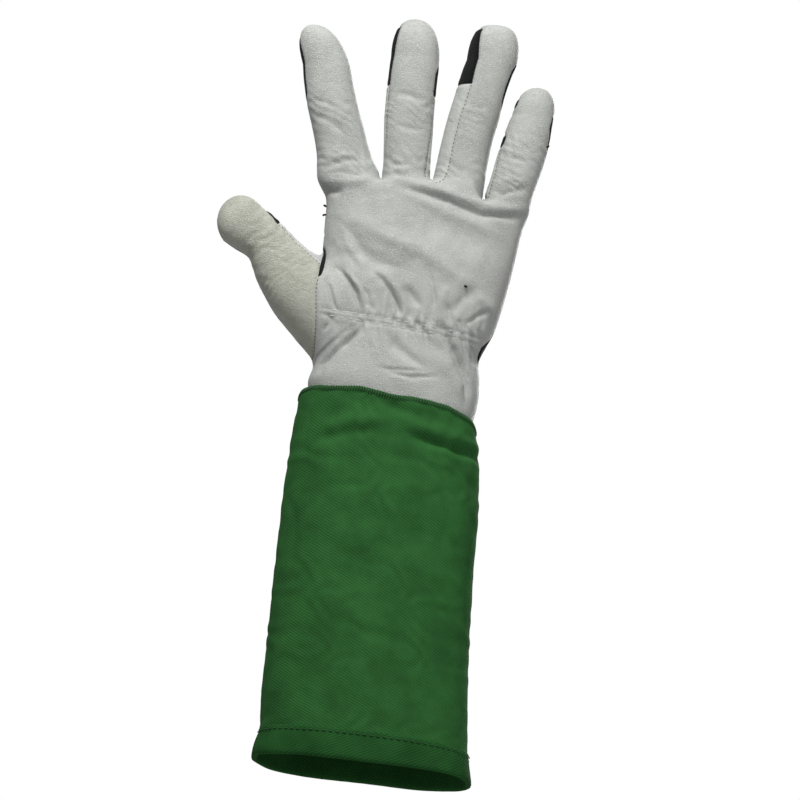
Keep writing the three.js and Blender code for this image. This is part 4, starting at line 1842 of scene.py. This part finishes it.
@dataclass
class Cuff:
    """The long cloth cuff: two twill panels, a doubled hem and an overlocked top edge."""

    materials: dict[str, bpy.types.Material]
    rows: Stations = Stations((
        (-6, -55.6, 57, 40.4), (0, -56, 56.5, 40.2), (8, -56, 55, 39.8), (17, -54, 53.6, 38.8),
        (35, -54.6, 52.2, 38), (60, -54.5, 50.4, 37), (100, -53.8, 49, 35.5), (140, -53, 48.6, 33.8),
        (165, -51.8, 47, 32.4), (178, -50.9, 44.8, 31.6), (188, -49.9, 42.6, 30.9), (204, -48, 41, 30),
    ))
    edge: Stations = Stations((
        (-49.5, 193.5), (-48.6, 196.6), (-46, 198), (-32, 197.6), (-19, 198), (-11, 196.5), (-1, 195),
        (12, 194.6), (27, 192.6), (35, 190.6), (39, 189.2), (41, 187.4), (42, 184.4),
    ))
    dents: tuple[Fold, ...] = (
        Fold(((-46, 164), (-38, 168.5), (-28, 172), (-18, 174), (-8, 174.6), (0, 174)), -1.2, 2.8),
        Fold(((-40, 175), (-26, 179), (-10, 180.5), (4, 178)), 0.8, 4.0),
        Fold(((2, 178), (9, 175.6), (15, 173.2), (22, 172), (30, 171.2), (38, 170.2), (56, 168)), -3.0, 2.3),
        Fold(((4, 183), (14, 180), (28, 177.4), (40, 176), (56, 174)), 1.2, 3.2),
        Fold(((-12, 191), (0, 188), (12, 185.5), (24, 184)), -1.0, 2.8),
        Fold(((30, 164), (40, 157), (50, 148)), -1.0, 4.5),
        Fold(((-30, 120), (-10, 100), (14, 92)), -0.6, 12.0),
        Fold(((20, 150), (30, 120), (34, 84)), 0.7, 9.0),
        Fold(((-40, 70), (-36, 46), (-38, 24)), -0.7, 7.0),
        Fold(((24, 62), (26, 40), (24, 22)), -0.8, 8.0),
        Fold(((-6, 60), (-2, 36), (2, 20)), 0.6, 8.0),
        Fold(((-34, 186), (-20, 150), (0, 128)), 0.8, 9.0, back=True),
        Fold(((28, 182), (14, 150), (6, 110)), -1.0, 9.0, back=True),
        Fold(((-20, 90), (10, 74), (34, 66)), -0.8, 12.0, back=True),
    )

    squareness: float = 2.4
    tilt: float = 0.035
    seam_from_hem: float = 1.9
    hem_pitch: float = 3.3
    hem_stitch: float = 2.2
    hem_thread: float = 0.28
    edge_pitch: float = 1.55
    edge_thread: float = 0.42

    def outside(self, turn: Array, z: Array) -> Array:
        """Points on the cuff's outer face.

        Args:
            turn: Angle round the cuff in degrees; 0 is +X and -90 the palm side.
            z: Height.

        Returns:
            Points in millimetres.
        """
        left, right, depth = self.rows.at(z)
        c, s = np.cos(np.radians(turn)), np.sin(np.radians(turn))
        x = (left + right) / 2 + (right - left) / 2 * np.sign(c) * np.abs(c) ** (2 / self.squareness)
        y = depth * np.sign(s) * np.abs(s) ** (2 / self.squareness)
        return np.stack([x, y, z], axis=-1)

    def top(self, turn: Array) -> Array:
        """Height of the top edge."""
        x = self.outside(turn, np.full_like(turn, 196.0))[..., 0]
        return self.edge.at(x)[0] + 0.25 * wander(turn / 14, 2.0)

    def hem_top(self, turn: Array) -> Array:
        """Height of the hem's upper edge."""
        x = self.outside(turn, np.full_like(turn, 17.0))[..., 0]
        return 16.9 - self.tilt * x

    def mouth(self, turn: Array) -> Array:
        """Height of the mouth's edge."""
        x = self.outside(turn, np.zeros_like(turn))[..., 0]
        return 2.2 - self.tilt * x + 0.5 * wander(turn / 40, 6.0)

    def arc(self, turn: Array) -> Array:
        """Distance round the cuff in millimetres.

        Args:
            turn: Angles round the cuff.

        Returns:
            The distances from the thumb's side seam.
        """
        table = np.linspace(-180, 180, 721)
        ring = self.outside(table, np.full_like(table, 100.0))
        run = np.concatenate([[0.0], np.cumsum(np.linalg.norm(np.diff(ring, axis=0), axis=1))])
        return np.interp(turn, table, run)

    def cloth(self, turn: Array, along: Array) -> Array:
        """Coordinates of the weave: distance round the cuff, distance along it and 0."""
        run = np.broadcast_to(self.arc(turn), along.shape)
        return np.stack([run, along, np.zeros_like(along)], axis=-1).reshape(-1, 3)

    def turns(self, first: float, last: float, step: float) -> Array:
        """Angles spaced evenly round the cuff.

        Args:
            first: First angle.
            last: Last angle.
            step: Distance between them in millimetres.

        Returns:
            The angles.
        """
        low, high = self.arc(np.array([first, last]))
        fine = np.linspace(first, last, 2001)
        return np.interp(np.linspace(low, high, int((high - low) / step) + 1), self.arc(fine), fine)

    def pressed(self, grid: Array, out: Array, turn: Array) -> Array:
        """Adds dents, slack and the pull of the side seams to the cloth.

        Args:
            grid: Points of the cloth.
            out: Normals at those points.
            turn: Angles round the cuff.

        Returns:
            The moved points.
        """
        flat = grid.reshape(-1, 3)
        height = sum(dent.relief(flat) for dent in self.dents).reshape(grid.shape[:2])
        x, z = grid[..., 0], grid[..., 2]
        height += crumple(x + 0.35 * z, z * 0.6, 23.0, 4.0) * 0.35 * smoothstep(z, 20, 60)
        height += crumple(x, z, 13.0, 9.0) * 0.3 * smoothstep(z, 168, 190)
        height += crumple(x * 0.9, z, 15.0, 1.0) * 0.28 * smoothstep(50 - z, 0, 30)
        seam = np.minimum(np.abs(turn), 180 - np.abs(turn)) * 0.8
        height -= 0.7 * bell(seam, 1.0) - 0.25 * bell(seam - 3.2, 2.0)
        return grid + out * height[..., None]

    @staticmethod
    def normals(grid: Array) -> Array:
        """Outward normals of a grid whose rows go up and columns go round."""
        n = np.cross(np.gradient(grid, axis=1), np.gradient(grid, axis=0))
        return n / np.maximum(np.linalg.norm(n, axis=-1, keepdims=True), 1e-9)

    def panel(self, name: str, node: str, first: float, last: float) -> bpy.types.Object:
        """Builds one twill panel from the hem to the overlocked edge.

        Args:
            name: Name of the piece.
            node: Solid that it replaces.
            first: Angle of its first side seam.
            last: Angle of its last side seam.

        Returns:
            The panel, riding on the gauntlet.
        """
        turn = self.turns(first, last, 1.5)
        share = np.linspace(0, 1, 118)[:, None]
        z = (self.hem_top(turn) - 5)[None] * (1 - share) + self.top(turn)[None] * share
        turns = np.broadcast_to(turn, z.shape)
        grid = self.outside(turns, z)
        grid = self.pressed(grid, self.normals(grid), turns)
        out = self.normals(grid)
        points, faces = shell(grid, grid - out * TWILL_WALL)
        cloth = self.cloth(turn, z)
        out = out.reshape(-1, 3)
        shape = Shape(points, faces, [0, 0, 0], np.concatenate([out, -out]), np.concatenate([cloth, cloth]))
        self.overlock(shape, turn)
        obj = shape.build(name, [self.materials["twill"], self.materials["green_thread"]], Slot.TWILL)
        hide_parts(node)
        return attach(obj, "gauntlet")

    def overlock(self, shape: Shape, turn: Array) -> None:
        """Sews slanting loops of thread over the top edge.

        Args:
            shape: The panel to sew.
            turn: Angles round the panel.
        """
        run = self.arc(turn)
        for at in np.arange(run[0] + 0.6, run[-1] - 0.4, self.edge_pitch):
            a, b = np.interp([at, at + 1.1], run, turn)
            spot = np.array([a, (a + b) / 2, b])
            top = self.top(spot)
            low = self.outside(spot, top - 2.6)
            high = self.outside(spot, top + 0.1)
            out = self.normals(self.outside(np.array([spot, spot]), np.stack([top - 2, top])))[0]
            path = np.array([
                low[0] + out[0] * 0.25,
                low[1] + out[1] * 0.55 + (0, 0, 1.1),
                high[1] + out[1] * 0.35 - (0, 0, 0.3),
                high[1] - out[1] * 0.6 + (0, 0, 0.35),
                high[2] - out[2] * 1.5 - (0, 0, 0.5),
                low[2] - out[2] * 1.6,
            ])
            points, quads = thread(smooth_path(path, 11), self.edge_thread, 6)
            shape.add(points, quads, 1)

    def hem(self) -> bpy.types.Object:
        """Builds the doubled hem band with its rounded lip and stitches.

        Returns:
            The hem band, riding on the gauntlet.
        """
        turn = self.turns(-180, 180, 1.6)[:-1]
        profile = np.array(HEM_PROFILE)
        low, high = self.mouth(turn), self.hem_top(turn)
        z = low[None] + (high - low)[None] * profile[:, 1:]
        turns = np.broadcast_to(turn, z.shape)
        grid = self.outside(turns, z)
        ahead, behind = np.roll(grid, -1, axis=1), np.roll(grid, 1, axis=1)
        out = np.cross(ahead - behind, [0.0, 0.0, 1.0])
        out /= np.maximum(np.linalg.norm(out, axis=-1, keepdims=True), 1e-9)
        x = grid[..., 0]
        waver = crumple(x, z, 15.0, 1.0) * 0.28 + 0.6 * wander(turns / 33, 3.0) * smoothstep(17 - z, 0, 14)
        seam = np.minimum(np.abs(turns), 180 - np.abs(turns)) * 0.8
        waver -= 0.5 * bell(seam, 1.1)
        grid = grid + out * (profile[:, :1] + waver)[..., None]
        rows, columns = z.shape
        count = rows * columns
        faces = grid_faces(rows, columns, closed=True)
        close = np.arange(columns)
        ahead, last = np.roll(close, -1), count - columns
        cap = np.stack([close + last, ahead + last, ahead, close], axis=1)
        cloth = self.cloth(turn, -z)
        shape = Shape(grid.reshape(-1, 3), [faces, cap], [0, 0], None, cloth)
        self.sew_hem(shape, turn)
        # The hem's twill is darker than the panels' as painted shade of the cuff's lower end.
        obj = shape.build("cuff_hem_band", [self.materials["hem"], self.materials["green_thread"]], Slot.HEM)
        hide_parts("cuff_hem")
        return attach(obj, "gauntlet")

    def sew_hem(self, shape: Shape, turn: Array) -> None:
        """Sews the row of stitches under the hem's upper edge, except over the side seams.

        Args:
            shape: The hem band to sew.
            turn: Angles round the band.
        """
        run = self.arc(turn)
        for at in np.arange(1.0, run[-1], self.hem_pitch):
            spot = np.interp(np.linspace(at, at + self.hem_stitch, 6), run, turn)
            if np.minimum(np.abs(spot), 180 - np.abs(spot)).min() < 2.5:
                continue
            top = self.hem_top(spot)
            line = self.outside(spot, top - self.seam_from_hem)
            away = self.normals(self.outside(np.array([spot, spot]), np.stack([top - 2, top])))[0]
            lift = 0.9 + 0.3 * (1 - np.linspace(-1, 1, 6) ** 2)
            lift += crumple(line[:, 0], line[:, 2], 15.0, 1.0) * 0.28
            points, quads = thread(line + away * lift[:, None], self.hem_thread, 6)
            shape.add(points, quads, 1)

    def build(self) -> list[bpy.types.Object]:
        """Builds the cuff's pieces.

        Returns:
            The finished objects.
        """
        front = self.panel("cuff_front_twill", "cuff_front_panel", -180, 0)
        back = self.panel("cuff_back_twill", "cuff_back_panel", 0, 180)
        return [front, back, self.hem()]


@dataclass
class WristElastic:
    """The elastic strip inside the wrist and the two rows of stitches that hold it."""

    materials: dict[str, bpy.types.Material]
    form: HandForm = field(default_factory=HandForm)
    half_width: float = 2.8
    wall: float = 0.8
    size: tuple[int, int] = (12, 150)
    span: tuple[float, float] = (-148.0, -32.0)
    clearance: float = 2.6
    ripple: float = 0.35
    ripples: int = 26
    stitched: tuple[float, float] = (-34.5, 35.0)
    pitch: float = 4.7
    half_stitch: float = 1.6
    thread: float = 0.23

    def strip(self) -> bpy.types.Object:
        """Builds the gathered elastic strip.

        Returns:
            The strip, riding on the hand.
        """
        rows, columns = self.size
        turn = np.radians(np.linspace(*self.span, columns))
        beside = np.linspace(-self.half_width, self.half_width, rows)
        low, high, depth = self.form.palm.at(np.full_like(turn, round(ELASTIC_ROW)))
        c, s = np.cos(turn), np.sin(turn)
        power = 2 / self.form.squareness
        x = (low + high) / 2 + (high - low - 4) / 2 * np.sign(c) * np.abs(c) ** power
        wave = self.ripple * np.sin(np.linspace(0, 2 * np.pi * self.ripples, columns))
        y = (depth - self.clearance) * np.sign(s) * np.abs(s) ** power
        centre = ELASTIC_ROW - ELASTIC_GAP / 2 - ELASTIC_SLOPE * x
        outer = np.stack([np.broadcast_to(x, self.size), y + wave + np.abs(beside[:, None]) * 0.05,
                          centre + beside[:, None]], axis=-1)
        points, faces = shell(outer, outer + np.array([0.0, self.wall, 0.0]))
        shape = Shape(points, faces, [0, 0, 0])
        obj = shape.build("wrist_elastic_strip", [self.materials["elastic"]], Slot.ELASTIC)
        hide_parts("wrist_elastic")
        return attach(obj, "hand")

    def stitches(self) -> bpy.types.Object:
        """Sews the two rows of short stitches through the palm's leather.

        Returns:
            The stitches, riding on the hand.
        """
        shape = Shape(np.zeros((0, 3)), [], [])
        for offset in (0.0, -ELASTIC_GAP):
            for x in np.arange(*self.stitched, self.pitch):
                z = ELASTIC_ROW - ELASTIC_SLOPE * x + offset
                run = np.linspace(-self.half_stitch, self.half_stitch, 7) + offset * 0.5
                near = np.array([[x + dx, -23.0, z - ELASTIC_SLOPE * dx] for dx in run])
                spot = self.form.settle(near, 6)
                out = self.form.gradient(spot)
                lift = relief(spot, out)[:, None] + 0.16
                points, quads = thread(spot + out * lift, self.thread, 6)
                shape.add(points, quads, 0)
        obj = shape.build("elastic_stitch_rows", [self.materials["pale_thread"]], Slot.ELASTIC)
        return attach(obj, "hand")

    def build(self) -> list[bpy.types.Object]:
        """Both finished pieces."""
        return [self.strip(), self.stitches()]


# ---------------------------------------------------------------- stage


@dataclass(frozen=True)
class Stage:
    """Floor, light and camera."""

    target: tuple[float, float, float] = (0.003, 0.0, 0.1985)
    elevation: float = -11.5
    distance: float = 4.0
    lens: float = 346.0
    roll: float = 5.1
    ambient: float = 0.45

    def build(self) -> None:
        """Adds the stage to the scene."""
        bpy.ops.mesh.primitive_plane_add(size=30, location=(0, 0, -1.2))
        floor = bpy.context.object
        floor.name = "floor"
        paint = bpy.data.materials.new("pale_floor")
        paint.use_nodes = True
        shader = paint.node_tree.nodes["Principled BSDF"]
        shader.inputs["Base Color"].default_value = (0.7, 0.7, 0.7, 1)
        shader.inputs["Roughness"].default_value = 0.9
        floor.data.materials.append(paint)
        world = bpy.data.worlds.new("studio")
        bpy.context.scene.world = world
        world.use_nodes = True
        n = Nodes(world.node_tree)
        backdrop = world.node_tree.nodes["Background"]
        backdrop.inputs[0].default_value = (1, 1, 1, 1)
        seen = n.add("LightPath").outputs["Is Camera Ray"]
        white_for_camera = n.math("MULTIPLY_ADD", seen, 1.0 - self.ambient, self.ambient)
        world.node_tree.links.new(white_for_camera, backdrop.inputs[1])
        lights = [
            self.lamp("key_light", (-0.2, -0.62, 1.22), 0.4, 20.9),
            self.lamp("fill_light", (1.3, -1.5, 0.35), 1.2, 12.0),
            self.lamp("back_light", (0.5, 1.9, 0.9), 1.0, 26.0),
        ]
        camera = bpy.data.objects.new("camera", bpy.data.cameras.new("camera"))
        bpy.context.scene.collection.objects.link(camera)
        camera.data.lens, camera.data.sensor_width, camera.data.clip_end = self.lens, 36.0, 50.0
        angle = math.radians(self.elevation)
        target = Vector(self.target)
        camera.location = target + Vector((0, -math.cos(angle), math.sin(angle))) * self.distance
        look = (target - camera.location).to_track_quat("-Z", "Y").to_matrix().to_4x4()
        camera.matrix_world = Matrix.Translation(camera.location) @ look @ Matrix.Rotation(
            math.radians(self.roll), 4, "Z"
        )
        bpy.context.scene.camera = camera
        bpy.context.scene.view_settings.view_transform = "Standard"

    @staticmethod
    def lamp(name: str, place: tuple[float, float, float], size: float, power: float) -> bpy.types.Object:
        """Adds a soft square lamp that faces the glove.

        Args:
            name: Name of the lamp.
            place: Where it stands, in metres.
            size: Side of the lamp, in metres.
            power: Power in watts.

        Returns:
            The lamp.
        """
        data = bpy.data.lights.new(name, "AREA")
        data.size, data.energy = size, power
        lamp = bpy.data.objects.new(name, data)
        bpy.context.scene.collection.objects.link(lamp)
        lamp.location = place
        aim = Vector((0.0, 0.0, 0.24)) - Vector(place)
        lamp.rotation_euler = aim.to_track_quat("-Z", "Y").to_euler()
        return lamp


def make_materials() -> dict[str, bpy.types.Material]:
    """Makes every material by its short name.

    Returns:
        The materials.
    """
    kit = Materials()
    makers = {"black": kit.knitted, "elastic": kit.knitted, "twill": kit.woven, "hem": kit.woven}
    made = {}
    for key, look in LOOKS.items():
        maker = kit.yarn if key.endswith("thread") else makers.get(key, kit.leather)
        made[key] = maker(look)
    return made


def main() -> None:
    """Builds the glove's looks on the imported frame."""
    logging.basicConfig(level=logging.INFO, format="%(message)s")
    materials = make_materials()
    pieces = HandPieces(materials).build()
    log.info("hand: %d pieces", len(pieces))
    pieces += Cuff(materials).build()
    pieces += WristElastic(materials).build()
    log.info("glove: %d pieces", len(pieces))
    Stage().build()


if __name__ == "__main__":
    main()
